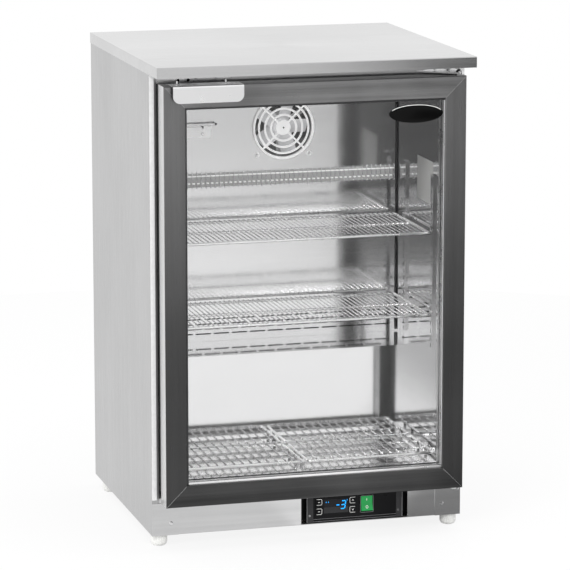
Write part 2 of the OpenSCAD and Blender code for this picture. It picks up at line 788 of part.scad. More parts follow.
// Finned coil: tubes along X, fins across them, and a plate at each end
module finned_coil(w, d, h, pitch, rows, tube_d) {
    n = floor(w / pitch);
    for (i = [0:n]) translate([-w / 2 + i * w / n - 0.5, 0, 0]) cube([1, d, h]);
    for (y = [d * 0.27, d * 0.73], i = [0:rows - 1])
        rod_x(-w / 2 - 8, w / 2 + 8, y, h * (i + 0.5) / rows, tube_d);
    for (x = [-w / 2 - 8, w / 2 + 5], i = [0:rows - 1])
        box([x, x + 3], [d * 0.27 - tube_d / 2, d * 0.73 + tube_d / 2],
            [h * (i + 0.5) / rows - tube_d / 2, h * (i + 0.5) / rows + tube_d / 2]);
}

module evaporator() {
    w = 2 * in_hw - 130;
    d = 78;
    h = 150;
    z = grille_z0 - 25 - h;
    y = liner_back - d - 22;
    color("silver") translate([0, y, z]) {
        finned_coil(w, d, h, 24, 3, 9);
        for (x = [-w / 2 - 0.5, w / 2 - 1.5]) box([x, x + 2], [d - 1, liner_back - y], [0, h]);
    }
}

module air_grille() {
    w = in_hw - 2;
    wire = 2;
    y = panel_y - 1.4;
    n = floor((2 * w - 8) / grille_pitch);
    color("silver") {
        for (z = [grille_z0 + 1.5, grille_z1 - 7, grille_z1 - 1.5]) rod_x(-w, w, y, z, 2.8);
        for (i = [0:n]) rod_z(grille_z0 + 1, grille_z1 - 1, -w + 4 + i * (2 * w - 8) / n, y, wire);
    }
}

// Thermostat probe tube on a small screwed bracket
module probe_holder() {
    x = [-in_hw + 62, -in_hw + 152];
    z0 = fan_z - 13;
    y = panel_y;
    color("silver") {
        difference() {
            box([x[0], x[1]], [y - 1.5, y], [z0, z0 + 20]);
            screw_holes(probe_screws);
        }
        for (i = [x[0] + 6, x[1] - 16]) box([i, i + 8], [y - 9, y - 1], [z0 + 17, z0 + 19]);
        for (i = [x[0] + 6, x[1] - 16]) box([i, i + 8], [y - 10, y - 8], [z0 + 17, z0 + 28]);
        rod_x(x[0] - 20, x[1] + 6, y - 9, z0 + 26, 5, 12);
    }
}

// ---- shelves ----

module pilaster(s, y) {
    z0 = ledge_z + 1;
    n = floor((pilaster_l - 20) / hole_pitch);
    color("gainsboro") mirror([s < 0 ? 1 : 0, 0, 0]) difference() {
        box([in_hw - pilaster_d, in_hw], [y - pilaster_w / 2, y + pilaster_w / 2], [z0, z0 + pilaster_l]);
        box([in_hw - pilaster_d + 1.2, in_hw + cut], [y - pilaster_w / 2 + 3, y + pilaster_w / 2 - 3],
            [z0 - cut, z0 + pilaster_l + cut]);
        for (i = [0:n - 1]) box([in_hw - pilaster_d - cut, in_hw - 1], [y - 2, y + 2],
            [z0 + 14 + i * hole_pitch, z0 + 21 + i * hole_pitch]);
    }
}
module pilaster_front_left() { pilaster(-1, pilaster_front_y); }
module pilaster_front_right() { pilaster(1, pilaster_front_y); }
module pilaster_rear_left() { pilaster(-1, pilaster_rear_y); }
module pilaster_rear_right() { pilaster(1, pilaster_rear_y); }

// Hooked clips: a tab on the support, a seat under the rim wire and a lip inside it
module shelf_clips() {
    xt = in_hw - pilaster_d;
    xl = shelf_hw - rim_wire_d / 2 - play - 1.5;
    color("silver") for (s = [-1, 1], y = [pilaster_front_y, pilaster_rear_y], z = [shelf_lower_z, shelf_upper_z]) {
        zs = z - rim_wire_d / 2 - play;
        mirror([s < 0 ? 1 : 0, 0, 0]) {
            box([xl, xt], [y - clip_hw, y + clip_hw], [zs - 1.5, zs]);
            box([xt - 1.2, xt], [y - clip_hw, y + clip_hw], [zs - 10, zs + 6]);
            box([xl, xl + 1.5], [y - clip_hw, y + clip_hw], [zs - 1.5, zs + 2.5]);
        }
    }
}

// Rim of thick wire round x and y, with cross wires under a row of wires that run front to back.
// The side wires of the rim are a little thinner, so that they end inside the front and back ones.
module wire_grid(x, y, z, wire_d, pitch, crosses) {
    rise = rim_wire_d / 2 + wire_d / 2 - 0.5;
    n = floor((x[1] - x[0] - rim_wire_d) / pitch);
    step = (x[1] - x[0]) / n;
    for (yy = concat([y[0], y[1]], crosses)) rod_x(x[0] - rim_wire_d / 2, x[1] + rim_wire_d / 2, yy, z, rim_wire_d);
    for (xx = x) rod_y(y[0], y[1], xx, z, rim_wire_d - 0.4);
    for (i = [1:n - 1]) rod_y(y[0] - 1, y[1] + 1, x[0] + i * step, z + rise, wire_d);
}

module shelf(z) {
    color("silver")
        wire_grid([-shelf_hw, shelf_hw], [shelf_y0, shelf_y1], z, fine_wire_d, fine_pitch, [(shelf_y0 + shelf_y1) / 2]);
}
module shelf_upper() { shelf(shelf_upper_z); }
module shelf_lower() { shelf(shelf_lower_z); }

// Floor rack: a wire grid on four short legs
module floor_rack(s) {
    x = [rack_gap / 2 + rim_wire_d / 2, shelf_hw];
    third = (rack_y1 - rack_y0) / 3;
    color("silver") mirror([s < 0 ? 1 : 0, 0, 0]) {
        wire_grid(x, [rack_y0, rack_y1], rack_z, rack_wire_d, rack_pitch, [rack_y0 + third, rack_y1 - third]);
        for (xx = x, yy = [rack_y0 + third, rack_y1 - third]) rod_z(in_floor + play, rack_z, xx, yy, rim_wire_d);
    }
}
module floor_rack_left() { floor_rack(-1); }
module floor_rack_right() { floor_rack(1); }

// ---- machine bay ----

// Hermetic shell on a foot plate, with its terminal box and two pipe stubs
module compressor() {
    shell_z = bay_floor + 14;
    shell_h = 120;
    color("#2b2b2e") translate([comp_x, comp_y, 0]) {
        translate([0, 0, shell_z]) rotate_extrude($fn = 64)
            polygon(concat([[0, 0], [comp_r * 0.7, 0], [comp_r, 22], [comp_r, shell_h - 42]],
                [for (a = [10:10:90]) [comp_r * cos(a), shell_h - 42 + 42 * sin(a)]]));
        box([-95, 95], [-60, 60], [shell_z - 4, shell_z + 2]);
        for (x = [-84, 84], y = [-48, 48]) rod_z(bay_floor, shell_z - 3, x, y, 22, 24);
        box([comp_r - 12, comp_r + 24], [-30, 30], [shell_z + 28, shell_z + 84]);
        for (y = [-40, 40]) rod_z(shell_z + 60, shell_z + 150, -30, y, 8, 12);
    }
}

module condenser() {
    z0 = bay_floor + 12;
    color("#3d3d40") translate([cond_x, cond_y, z0]) {
        finned_coil(cond_w, cond_d, cond_h, 22, 4, 8);
        for (x = [-cond_w / 2 - 0.5, cond_w / 2 - 1.5]) box([x, x + 2], [0, cond_d], [bay_floor - z0, 1]);
    }
}

cond_blade_d = 22;
cond_blade_y = cond_y - cond_blade_d - 10;

module condenser_fan_blade() {
    color("gainsboro") translate([0, 2 * cond_blade_y + cond_blade_d, 0]) mirror([0, 1, 0])
        fan_wheel(cond_x, cond_blade_y, cond_fan_z, cond_fan_r, 22, cond_blade_d, 5, shaft_d + 2 * pin_play);
}

// Motor on a folded stand, shaft towards the coil
module condenser_fan_motor() {
    l = 50;
    y1 = cond_blade_y - 4;
    color("#4b4b4f") {
        translate([cond_x, y1, cond_fan_z]) rotate([90, 0, 0]) cylinder(r = 32, h = l);
        rod_y(y1, cond_blade_y + 8, cond_x, cond_fan_z, shaft_d, 24);
        box([cond_x - 22, cond_x + 22], [y1 - l + 2, y1 - l + 5], [bay_floor, cond_fan_z]);
        box([cond_x - 22, cond_x + 22], [y1 - l + 2, y1 - 6], [bay_floor, bay_floor + 3]);
    }
}

// Cord inlet: flange outside, body through the cover
module cable_gland() {
    color("#222222") translate([gland_x, rear_y, gland_z]) rotate([-90, 0, 0]) difference() {
        union() {
            translate([0, 0, -12]) cylinder(d = gland_bore + 6.8, h = 12 + sheet_t);
            translate([0, 0, -2]) cylinder(d = gland_bore + 14, h = 2, $fn = 6);
            translate([0, 0, sheet_t]) cylinder(d = gland_bore + 12, h = sheet_t);
        }
        translate([0, 0, -14]) cylinder(d = gland_bore, h = 20);
    }
}

// ---- feet and screws ----

module foot_places() {
    for (x = [-foot_x, foot_x], y = [foot_front_y, foot_rear_y]) translate([x, y, 0]) children();
}

// Screw-in plastic glide: ribbed rim, domed underside and a threaded stud
module foot(x, y) {
    r = foot_d / 2;
    top = foot_h - play;
    sole_r = r * 0.55;
    color("white") translate([x, y, 0]) {
        difference() {
            rotate_extrude() polygon(concat([[0, 0], [sole_r, 0]],
                [for (a = [-75:15:0]) [sole_r + (r - sole_r) * cos(a), 9 + 9 * sin(a)]], [[r, top], [0, top]]));
            for (a = [0:20:340]) rotate([0, 0, a]) translate([r + 0.6, 0, 8]) cylinder(r = 1.4, h = foot_h, $fn = 12);
        }
        translate([0, 0, top - cut]) cylinder(d = stud_d, h = cut + play + sheet_t + boss_h + 4);
    }
}
module foot_front_left() { foot(-foot_x, foot_front_y); }
module foot_front_right() { foot(foot_x, foot_front_y); }
module foot_rear_left() { foot(-foot_x, foot_rear_y); }
module foot_rear_right() { foot(foot_x, foot_rear_y); }

module screws() {
    color("silver") {
        for (p = concat(corner_screws, control_screws, frame_screws, hinge_screws, guard_screws, panel_screws,
            probe_screws)) screw(p);
        for (p = cover_screws) mirror([0, 1, 0]) screw([p[0], -p[1], p[2], p[3]]);
    }
}

worktop();
side_panel_left();
side_panel_right();
rear_panel();
rear_cover();
base_pan();
foam_insulation();
inner_liner();
face_frame();
corner_plate_left();
corner_plate_right();
fascia_left();
fascia_right();
control_housing();
controller();
key_power();
key_set();
key_up();
key_down();
switch_frame();
switch_rocker();
hinge_bracket_upper();
hinge_bracket_lower();
hinge_pin_upper();
hinge_pin_lower();
door_rail_top();
door_rail_bottom();
door_stile_left();
door_stile_right();
glass_outer();
glass_inner();
glass_spacer();
door_gasket();
door_handle();
fan_panel();
fan_guard();
evap_fan_motor();
evap_fan_blade();
evaporator();
air_grille();
probe_holder();
pilaster_front_left();
pilaster_front_right();
pilaster_rear_left();
pilaster_rear_right();
shelf_clips();
shelf_upper();
shelf_lower();
floor_rack_left();
floor_rack_right();
compressor();
condenser();
condenser_fan_motor();
condenser_fan_blade();
cable_gland();
foot_front_left();
foot_front_right();
foot_rear_left();
foot_rear_right();
screws();
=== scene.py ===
from math import cos, pi, radians, sin

import bpy
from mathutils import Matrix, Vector


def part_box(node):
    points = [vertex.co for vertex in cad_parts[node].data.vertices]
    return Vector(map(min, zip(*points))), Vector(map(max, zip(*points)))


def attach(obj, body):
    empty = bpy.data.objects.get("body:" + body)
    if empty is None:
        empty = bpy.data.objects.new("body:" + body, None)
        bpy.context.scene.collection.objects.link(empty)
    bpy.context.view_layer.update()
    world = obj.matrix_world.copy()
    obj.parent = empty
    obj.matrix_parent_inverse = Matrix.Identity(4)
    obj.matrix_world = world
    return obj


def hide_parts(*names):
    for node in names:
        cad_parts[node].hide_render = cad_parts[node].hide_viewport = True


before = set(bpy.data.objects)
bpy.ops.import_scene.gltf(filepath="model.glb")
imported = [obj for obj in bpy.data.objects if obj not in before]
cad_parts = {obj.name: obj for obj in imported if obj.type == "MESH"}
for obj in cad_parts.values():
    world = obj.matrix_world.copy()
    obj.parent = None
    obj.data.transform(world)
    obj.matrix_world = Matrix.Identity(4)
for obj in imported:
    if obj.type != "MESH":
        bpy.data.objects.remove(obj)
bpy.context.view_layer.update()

scene = bpy.context.scene
scene.view_settings.view_transform = "Standard"
scene.cycles.transparent_max_bounces = 24
mm = 0.001


def clearSelection():
    bpy.ops.object.select_all(action="DESELECT")


cameraSetup = {"place": (-1.675, -6.016, 1.678), "turn": 15.68, "tilt": 11.22, "lens": 211.3}


def makeCamera():
    bpy.ops.object.camera_add(location=cameraSetup["place"],
                              rotation=(radians(90 - cameraSetup["tilt"]), 0, -radians(cameraSetup["turn"])))
    camera = bpy.context.object
    camera.name = "studioCamera"
    camera.data.lens = cameraSetup["lens"]
    camera.data.sensor_width = 36
    scene.camera = camera


makeCamera()
print("camera placed")


def link(tree, start, end):
    tree.links.new(start, end)


def setSocket(tree, socket, value):
    if isinstance(value, bpy.types.NodeSocket):
        link(tree, value, socket)
    elif value is not None:
        socket.default_value = value


def mathNode(tree, kind, a, b=None):
    node = tree.nodes.new("ShaderNodeMath")
    node.operation = kind
    setSocket(tree, node.inputs[0], a)
    setSocket(tree, node.inputs[1], b)
    return node.outputs[0]


def rangeNode(tree, value, low, high, toLow, toHigh, kind="SMOOTHSTEP"):
    node = tree.nodes.new("ShaderNodeMapRange")
    node.interpolation_type = kind
    for name, number in (("Value", value), ("From Min", low), ("From Max", high), ("To Min", toLow),
                         ("To Max", toHigh)):
        setSocket(tree, node.inputs[name], number)
    return node.outputs["Result"]


def mixColours(tree, amount, first, second, kind="MIX"):
    node = tree.nodes.new("ShaderNodeMix")
    node.data_type = "RGBA"
    node.blend_type = kind
    setSocket(tree, node.inputs[0], amount)
    setSocket(tree, node.inputs[6], first)
    setSocket(tree, node.inputs[7], second)
    return node.outputs[2]


def objectCoords(tree, scale=(1, 1, 1)):
    coords = tree.nodes.new("ShaderNodeTexCoord")
    mapping = tree.nodes.new("ShaderNodeMapping")
    mapping.inputs["Scale"].default_value = scale
    link(tree, coords.outputs["Object"], mapping.inputs["Vector"])
    return mapping.outputs["Vector"]


def axisOf(tree, vector, axis):
    split = tree.nodes.new("ShaderNodeSeparateXYZ")
    link(tree, vector, split.inputs[0])
    return split.outputs[axis]


def noiseNode(tree, vector, scale, detail=3, roughness=0.55):
    node = tree.nodes.new("ShaderNodeTexNoise")
    link(tree, vector, node.inputs["Vector"])
    for name, number in (("Scale", scale), ("Detail", detail), ("Roughness", roughness)):
        node.inputs[name].default_value = number
    return node.outputs["Fac"]


def bumpNode(tree, height, strength, distance):
    node = tree.nodes.new("ShaderNodeBump")
    node.inputs["Strength"].default_value = strength
    node.inputs["Distance"].default_value = distance
    link(tree, height, node.inputs["Height"])
    return node.outputs["Normal"]


# A pale room that is dim low down on two sides: right of the cabinet's front, and where the viewer stands.
# Angles are in degrees from straight ahead of the door, to the right; the floor has dim sides of its own
studio = {"floorRadius": 2.2, "floorGlow": 0.85, "keyPower": 60, "topPower": 25}
roomDims = {"right": (16.7, 18.0, 50, 75), "rightTone": 0.06, "left": (2, -8, -40, -60), "leftTone": 0.12}
floorDims = {"right": (24, 34, 60, 80), "rightTone": 0.12, "left": (2, -8, -40, -60), "leftTone": 0.45}


def dimSides(tree, split, dims):
    angle = mathNode(tree, "ARCTAN2", split.outputs["X"], mathNode(tree, "MULTIPLY", split.outputs["Y"], -1))
    tones = []
    for side in ("right", "left"):
        starts, ends, leaves, gone = [radians(a) for a in dims[side]]
        tone = dims[side + "Tone"]
        tones.append(mathNode(tree, "MAXIMUM", rangeNode(tree, angle, starts, ends, 1.0, tone),
                              rangeNode(tree, angle, leaves, gone, tone, 1.0)))
    return tones


def roomTone(tree, coords):
    split = tree.nodes.new("ShaderNodeSeparateXYZ")
    link(tree, coords, split.inputs[0])
    right, left = dimSides(tree, split, roomDims)
    dim = mathNode(tree, "MINIMUM", right, left)
    return mathNode(tree, "MAXIMUM", dim, rangeNode(tree, split.outputs["Z"], -0.12, 0.06, 0, 1))


def floorTone(tree, coords):
    split = tree.nodes.new("ShaderNodeSeparateXYZ")
    link(tree, coords, split.inputs[0])
    right, left = dimSides(tree, split, floorDims)
    near = rangeNode(tree, mathNode(tree, "MULTIPLY", split.outputs["Y"], -1), 0.75, 1.1, 0.82, 0)
    return mathNode(tree, "MINIMUM", right, mathNode(tree, "MAXIMUM", left, near))


# White where it is looked at straight or through glass, and the room's tone once it has been reflected
def whiteUntilReflected(tree, tone):
    rays = tree.nodes.new("ShaderNodeLightPath")
    reflected = mathNode(tree, "GREATER_THAN", rays.outputs["Glossy Depth"], 0.5)
    through = mathNode(tree, "SUBTRACT", rays.outputs["Is Transmission Ray"], reflected)
    straight = mathNode(tree, "MAXIMUM", rays.outputs["Is Camera Ray"], through)
    return rangeNode(tree, straight, 0, 1, tone, 1.0, "LINEAR"), rays


def makeWorld():
    world = bpy.data.worlds.new("paleRoom")
    scene.world = world
    world.use_nodes = True
    tree = world.node_tree
    tree.nodes.clear()
    coords = tree.nodes.new("ShaderNodeTexCoord")
    light = whiteUntilReflected(tree, roomTone(tree, coords.outputs["Generated"]))[0]
    background = tree.nodes.new("ShaderNodeBackground")
    background.inputs["Color"].default_value = (1, 1, 1, 1)
    link(tree, light, background.inputs["Strength"])
    output = tree.nodes.new("ShaderNodeOutputWorld")
    link(tree, background.outputs[0], output.inputs[0])


def makeFloor():
    clearSelection()
    bpy.ops.mesh.primitive_circle_add(vertices=96, radius=studio["floorRadius"], fill_type="NGON")
    floor = bpy.context.object
    floor.name = "floor"
    material = bpy.data.materials.new("paleFloor")
    material.use_nodes = True
    material.cycles.emission_sampling = "NONE"
    tree = material.node_tree
    tree.nodes.clear()
    coords = tree.nodes.new("ShaderNodeTexCoord")
    light, rays = whiteUntilReflected(tree, floorTone(tree, coords.outputs["Object"]))
    bounced = mathNode(tree, "MAXIMUM", rays.outputs["Is Glossy Ray"], rays.outputs["Is Transmission Ray"])
    seen = mathNode(tree, "MAXIMUM", rays.outputs["Is Camera Ray"], bounced)
    glow = tree.nodes.new("ShaderNodeEmission")
    link(tree, light, glow.inputs["Strength"])
    matt = tree.nodes.new("ShaderNodeBsdfDiffuse")
    matt.inputs["Color"].default_value = (0.8, 0.8, 0.8, 1)
    mix = tree.nodes.new("ShaderNodeMixShader")
    link(tree, mathNode(tree, "MULTIPLY", seen, studio["floorGlow"]), mix.inputs[0])
    link(tree, matt.outputs[0], mix.inputs[1])
    link(tree, glow.outputs[0], mix.inputs[2])
    output = tree.nodes.new("ShaderNodeOutputMaterial")
    link(tree, mix.outputs[0], output.inputs[0])
    floor.data.materials.append(material)


def makeLamp(name, place, aim, size, power):
    bpy.ops.object.light_add(type="AREA", location=place)
    lamp = bpy.context.object
    lamp.name = name
    lamp.data.shape = "DISK"
    lamp.data.size = size
    lamp.data.energy = power
    lamp.visible_glossy = False
    lamp.rotation_euler = (Vector(aim) - Vector(place)).to_track_quat("-Z", "Y").to_euler()


makeWorld()
makeFloor()
makeLamp("keyLamp", (-2.2, -2.8, 2.6), (0, 0, 0.45), 2.0, studio["keyPower"])
makeLamp("topLamp", (0.3, -0.4, 3.0), (0, 0, 0.8), 2.2, studio["topPower"])
print("room, floor and lamps made")


def newMaterial(name):
    material = bpy.data.materials.new(name)
    material.use_nodes = True
    tree = material.node_tree
    return material, tree, tree.nodes["Principled BSDF"]


# tone is the plain colour, grain the axis that the brush ran along, gloss the roughness
# a ramp of painted light and shade lifts or lowers the tone along an axis: axis, from, to, share at each end
# the second-last argument is how far out from the middle the side faces turn pale with painted light, the
# last the height above which the top faces turn dark with painted shade
def brushedMetal(name, tone, grain, gloss, depth=0.25, streak=0.06, pitch=900, smear=0.0, paintedLightRamp=None,
                 paintedLitSide=None, paintedShadeAbove=None):
    material, tree, shader = newMaterial(name)
    stretch = [pitch if axis != grain else pitch / 60 for axis in "XYZ"]
    fine = noiseNode(tree, objectCoords(tree, stretch), 1, 2)
    broad = noiseNode(tree, objectCoords(tree, [s / 9 for s in stretch]), 1, 3)
    cloud = noiseNode(tree, objectCoords(tree), 5, 3)
    mottle = mathNode(tree, "MULTIPLY", mathNode(tree, "ADD", broad, cloud), 0.5)
    darker = [c * (1 - streak) for c in tone] + [1]
    lighter = [min(1, c * (1 + streak)) for c in tone] + [1]
    colour = mixColours(tree, rangeNode(tree, mottle, 0.3, 0.7, 0, 1), darker, lighter)
    # painted light and shade: the tone is scaled up or down along one axis
    if paintedLightRamp:
        axis, start, end, startShare, endShare = paintedLightRamp
        share = rangeNode(tree, axisOf(tree, objectCoords(tree), axis), start, end, startShare, endShare)
        scaled = tree.nodes.new("ShaderNodeVectorMath")
        scaled.operation = "SCALE"
        link(tree, colour, scaled.inputs[0])
        link(tree, share, scaled.inputs["Scale"])
        colour = scaled.outputs[0]
    # painted light: the side faces far out from the middle turn pale
    if paintedLitSide:
        across = mathNode(tree, "ABSOLUTE", axisOf(tree, objectCoords(tree), "X"))
        outside = mathNode(tree, "GREATER_THAN", across, paintedLitSide)
        colour = mixColours(tree, outside, colour, (0.75, 0.75, 0.75, 1))
    # painted shade: the top faces turn dark
    if paintedShadeAbove:
        shadedTop = mathNode(tree, "GREATER_THAN", axisOf(tree, objectCoords(tree), "Z"), paintedShadeAbove)
        colour = mixColours(tree, shadedTop, colour, (0.035, 0.035, 0.036, 1))
    link(tree, colour, shader.inputs["Base Color"])
    roughness = rangeNode(tree, fine, 0.25, 0.75, gloss * 0.85, gloss * 1.2, "LINEAR")
    link(tree, roughness, shader.inputs["Roughness"])
    link(tree, bumpNode(tree, fine, depth, 0.00008), shader.inputs["Normal"])
    shader.inputs["Metallic"].default_value = 1
    shader.inputs["Anisotropic"].default_value = smear
    shader.inputs["Anisotropic Rotation"].default_value = 0.25 if grain == "X" else 0.0
    return material


# Smooth plated or bright annealed metal with faint clouds, darkened with painted shade behind one place, and
# satin and lightened with painted light below another
def plainMetal(name, tone, gloss, cloudSize=12, wave=0.0, waveSize=6, paintedShadeFrom=None, satinAndLitBelow=None):
    material, tree, shader = newMaterial(name)
    cloud = noiseNode(tree, objectCoords(tree), cloudSize, 3)
    colour = mixColours(tree, cloud, [c * 0.95 for c in tone] + [1], [min(1, c * 1.04) for c in tone] + [1])
    # painted shade: behind the given depth the tone drops to about a third
    if paintedShadeFrom is not None:
        behind = mathNode(tree, "GREATER_THAN", axisOf(tree, objectCoords(tree), "Y"), paintedShadeFrom)
        colour = mixColours(tree, behind, colour, [c * 0.35 for c in tone] + [1])
    link(tree, colour, shader.inputs["Base Color"])
    roughness = rangeNode(tree, cloud, 0.3, 0.7, gloss * 0.8, gloss * 1.25, "LINEAR")
    if satinAndLitBelow is not None:
        height = axisOf(tree, objectCoords(tree), "Z")
        top = satinAndLitBelow + 4 * mm
        roughness = rangeNode(tree, height, satinAndLitBelow, top, 0.13, roughness)
        # painted light: below the given height the tone is lifted to near white
        litFloorShare = rangeNode(tree, height, satinAndLitBelow, top, 1, 0)
        link(tree, mixColours(tree, litFloorShare, colour, (0.99, 0.99, 0.99, 1)), shader.inputs["Base Color"])
    link(tree, roughness, shader.inputs["Roughness"])
    shader.inputs["Metallic"].default_value = 1
    if wave:
        swell = noiseNode(tree, objectCoords(tree), waveSize, 1)
        link(tree, bumpNode(tree, swell, wave, 0.01), shader.inputs["Normal"])
    return material


# Moulded plastic, rubber or paint with a faint skin texture
def mouldedSkin(name, tone, gloss, skin=0.15, skinSize=1400, metal=0.0, shine=0.5):
    material, tree, shader = newMaterial(name)
    pebble = noiseNode(tree, objectCoords(tree), skinSize, 2)
    dust = noiseNode(tree, objectCoords(tree), 30, 4)
    link(tree, mixColours(tree, dust, [c * 0.88 for c in tone] + [1], [min(1, c * 1.1) for c in tone] + [1]),
         shader.inputs["Base Color"])
    roughness = rangeNode(tree, dust, 0.3, 0.7, gloss * 0.85, gloss * 1.15, "LINEAR")
    link(tree, roughness, shader.inputs["Roughness"])
    link(tree, bumpNode(tree, pebble, skin, 0.0001), shader.inputs["Normal"])
    shader.inputs["Metallic"].default_value = metal
    shader.inputs["Specular IOR Level"].default_value = shine
    return material


def clearGlass(name, tone, tint=1.0):
    material, tree, shader = newMaterial(name)
    shader.inputs["Base Color"].default_value = (*tone, 1)
    smear = noiseNode(tree, objectCoords(tree), 9, 3)
    link(tree, rangeNode(tree, smear, 0.35, 0.7, 0.0, 0.012), shader.inputs["Roughness"])
    shader.inputs["Transmission Weight"].default_value = 1
    shader.inputs["IOR"].default_value = 1.25
    rays = tree.nodes.new("ShaderNodeLightPath")
    through = tree.nodes.new("ShaderNodeBsdfTransparent")
    through.inputs["Color"].default_value = (tint, tint, tint, 1)
    mix = tree.nodes.new("ShaderNodeMixShader")
    link(tree, rays.outputs["Is Shadow Ray"], mix.inputs[0])
    link(tree, shader.outputs[0], mix.inputs[1])
    link(tree, through.outputs[0], mix.inputs[2])
    link(tree, mix.outputs[0], tree.nodes["Material Output"].inputs["Surface"])
    return material


# Plastic that glows in its own colour: a lamp in the lit digits and the green rocker, painted light
# everywhere else
def litPlastic(name, tone, glow, gloss=0.25):
    material, tree, shader = newMaterial(name)
    cloud = noiseNode(tree, objectCoords(tree), 120, 2)
    colour = mixColours(tree, cloud, [c * 0.85 for c in tone] + [1], [min(1, c * 1.1) for c in tone] + [1])
    link(tree, colour, shader.inputs["Base Color"])
    link(tree, colour, shader.inputs["Emission Color"])
    shader.inputs["Emission Strength"].default_value = glow
    shader.inputs["Roughness"].default_value = gloss
    return material


def foamSkin(name, tone):
    material, tree, shader = newMaterial(name)
    cells = noiseNode(tree, objectCoords(tree), 700, 3)
    colour = mixColours(tree, cells, [c * 0.8 for c in tone] + [1], [*tone, 1])
    link(tree, colour, shader.inputs["Base Color"])
    link(tree, bumpNode(tree, cells, 0.5, 0.0006), shader.inputs["Normal"])
    shader.inputs["Roughness"].default_value = 0.9
    return material


steel = {"side": 0.47, "front": 0.66, "top": 0.55, "gloss": 0.30, "frontGloss": 0.14}
grey = lambda value: (value, value, value * 1.005)
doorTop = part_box("door_rail_top")[1].z - 0.05 * mm
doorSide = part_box("door_stile_right")[1].x - 0.05 * mm
finishes = {
    "topSteel": brushedMetal("topSteel", grey(steel["top"]), "X", steel["frontGloss"], smear=0.6),
    "sideSteel": brushedMetal("sideSteel", grey(steel["side"]), "Z", steel["gloss"]),
    "frontSteel": brushedMetal("frontSteel", grey(steel["front"]), "X", steel["frontGloss"], smear=0.6),
    "galvanised": plainMetal("galvanised", grey(0.55), 0.38, 60),
    "foam": foamSkin("foam", (0.80, 0.70, 0.45)),
    # the liner carries painted shade behind the fan panel and painted light on its floor
    "linerSteel": plainMetal("linerSteel", grey(0.86), 0.07, 4, 0.03, 5,
                             paintedShadeFrom=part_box("fan_panel")[1].y - 0.2 * mm,
                             satinAndLitBelow=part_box("floor_rack_left")[0].z + 1 * mm),
    # the fan panel's tone darkens towards its top: painted shade
    "panelSteel": brushedMetal("panelSteel", grey(0.82), "X", 0.11, 0.02, 0.015, 300,
                               paintedLightRamp=("Z", 0.45, 0.80, 1.0, 0.74)),
    # painted highlight: the front flanges' skin glows pale
    "flangeHighlight": litPlastic("flangeHighlight", (0.66, 0.66, 0.66), 0.3, 0.3),
    # painted light: the duct baffle glows
    "baffleGrey": litPlastic("baffleGrey", (0.33, 0.33, 0.33), 0.40, 0.5),
    "rimSteel": plainMetal("rimSteel", grey(0.98), 0.28, 30),
    "rackChrome": plainMetal("rackChrome", grey(0.46), 0.14, 30),
    "blackPlastic": mouldedSkin("blackPlastic", (0.008, 0.008, 0.009), 0.3, shine=0.12),
    "keyPlastic": mouldedSkin("keyPlastic", (0.006, 0.006, 0.008), 0.3, shine=0.06),
    "stripPlastic": mouldedSkin("stripPlastic", (0.045, 0.045, 0.047), 0.35, shine=0.15),
    "lensPlastic": mouldedSkin("lensPlastic", (0.006, 0.006, 0.009), 0.08, 0.0, shine=0.25),
    "badgeEnamel": mouldedSkin("badgeEnamel", (0.004, 0.004, 0.004), 0.15, 0.0, shine=0.08),
    # white print that glows with painted light; on the badge it is a painted highlight
    "whiteInkAndHighlight": litPlastic("whiteInkAndHighlight", (0.85, 0.85, 0.83), 0.35, 0.5),
    # painted highlight: pale lines on the control strip's edges
    "paleHighlight": litPlastic("paleHighlight", (0.35, 0.35, 0.36), 0.05, 0.5),
    "litBlue": litPlastic("litBlue", (0.0, 0.36, 1.0), 1.15, 0.4),
    "darkHole": mouldedSkin("darkHole", (0.004, 0.004, 0.004), 0.9, shine=0.0),
    "labelPaper": mouldedSkin("labelPaper", (0.50, 0.50, 0.49), 0.6, 0.05),
    # painted light: the fan blades glow
    "bladeMetal": litPlastic("bladeMetal", (0.62, 0.62, 0.63), 0.25, 0.3),
    "greenLens": litPlastic("greenLens", (0.0, 0.24, 0.045), 0.6),
    "platedSteel": plainMetal("platedSteel", grey(0.78), 0.14, 40),
    "handleSteelAndHighlight": plainMetal("handleSteelAndHighlight", grey(1.0), 0.32, 40),
    # the door frame's tone rises towards its top with painted light, its top faces turn dark with painted
    # shade, and the stiles' outer side faces turn pale with painted light
    "railDark": brushedMetal("railDark", grey(0.16), "X", 0.30, 0.5, 0.35, 700,
                             paintedLightRamp=("Z", 0.12, 0.84, 0.42, 1.56), paintedShadeAbove=doorTop),
    "stileDark": brushedMetal("stileDark", grey(0.14), "Z", 0.30, 0.4, 0.12, 700,
                              paintedLightRamp=("Z", 0.3, 0.84, 0.5, 1.5), paintedShadeAbove=doorTop, paintedLitSide=doorSide),
    "paneGlass": clearGlass("paneGlass", (0.985, 0.985, 0.985)),
    "spacer": plainMetal("spacer", grey(0.6), 0.3, 30),
    "gasket": mouldedSkin("gasket", (0.035, 0.035, 0.037), 0.55, 0.1),
    # painted light: the fan guard and grille rails glow
    "whiteCoat": litPlastic("whiteCoat", (0.88, 0.88, 0.88), 0.50, 0.35),
    "chrome": plainMetal("chrome", grey(0.86), 0.13, 30),
    "coilMetal": plainMetal("coilMetal", grey(0.8), 0.4, 30),
    "blackSteel": mouldedSkin("blackSteel", (0.02, 0.02, 0.021), 0.35, 0.2, 500),
    "whiteNylon": mouldedSkin("whiteNylon", (0.84, 0.84, 0.82), 0.45, 0.1),
}
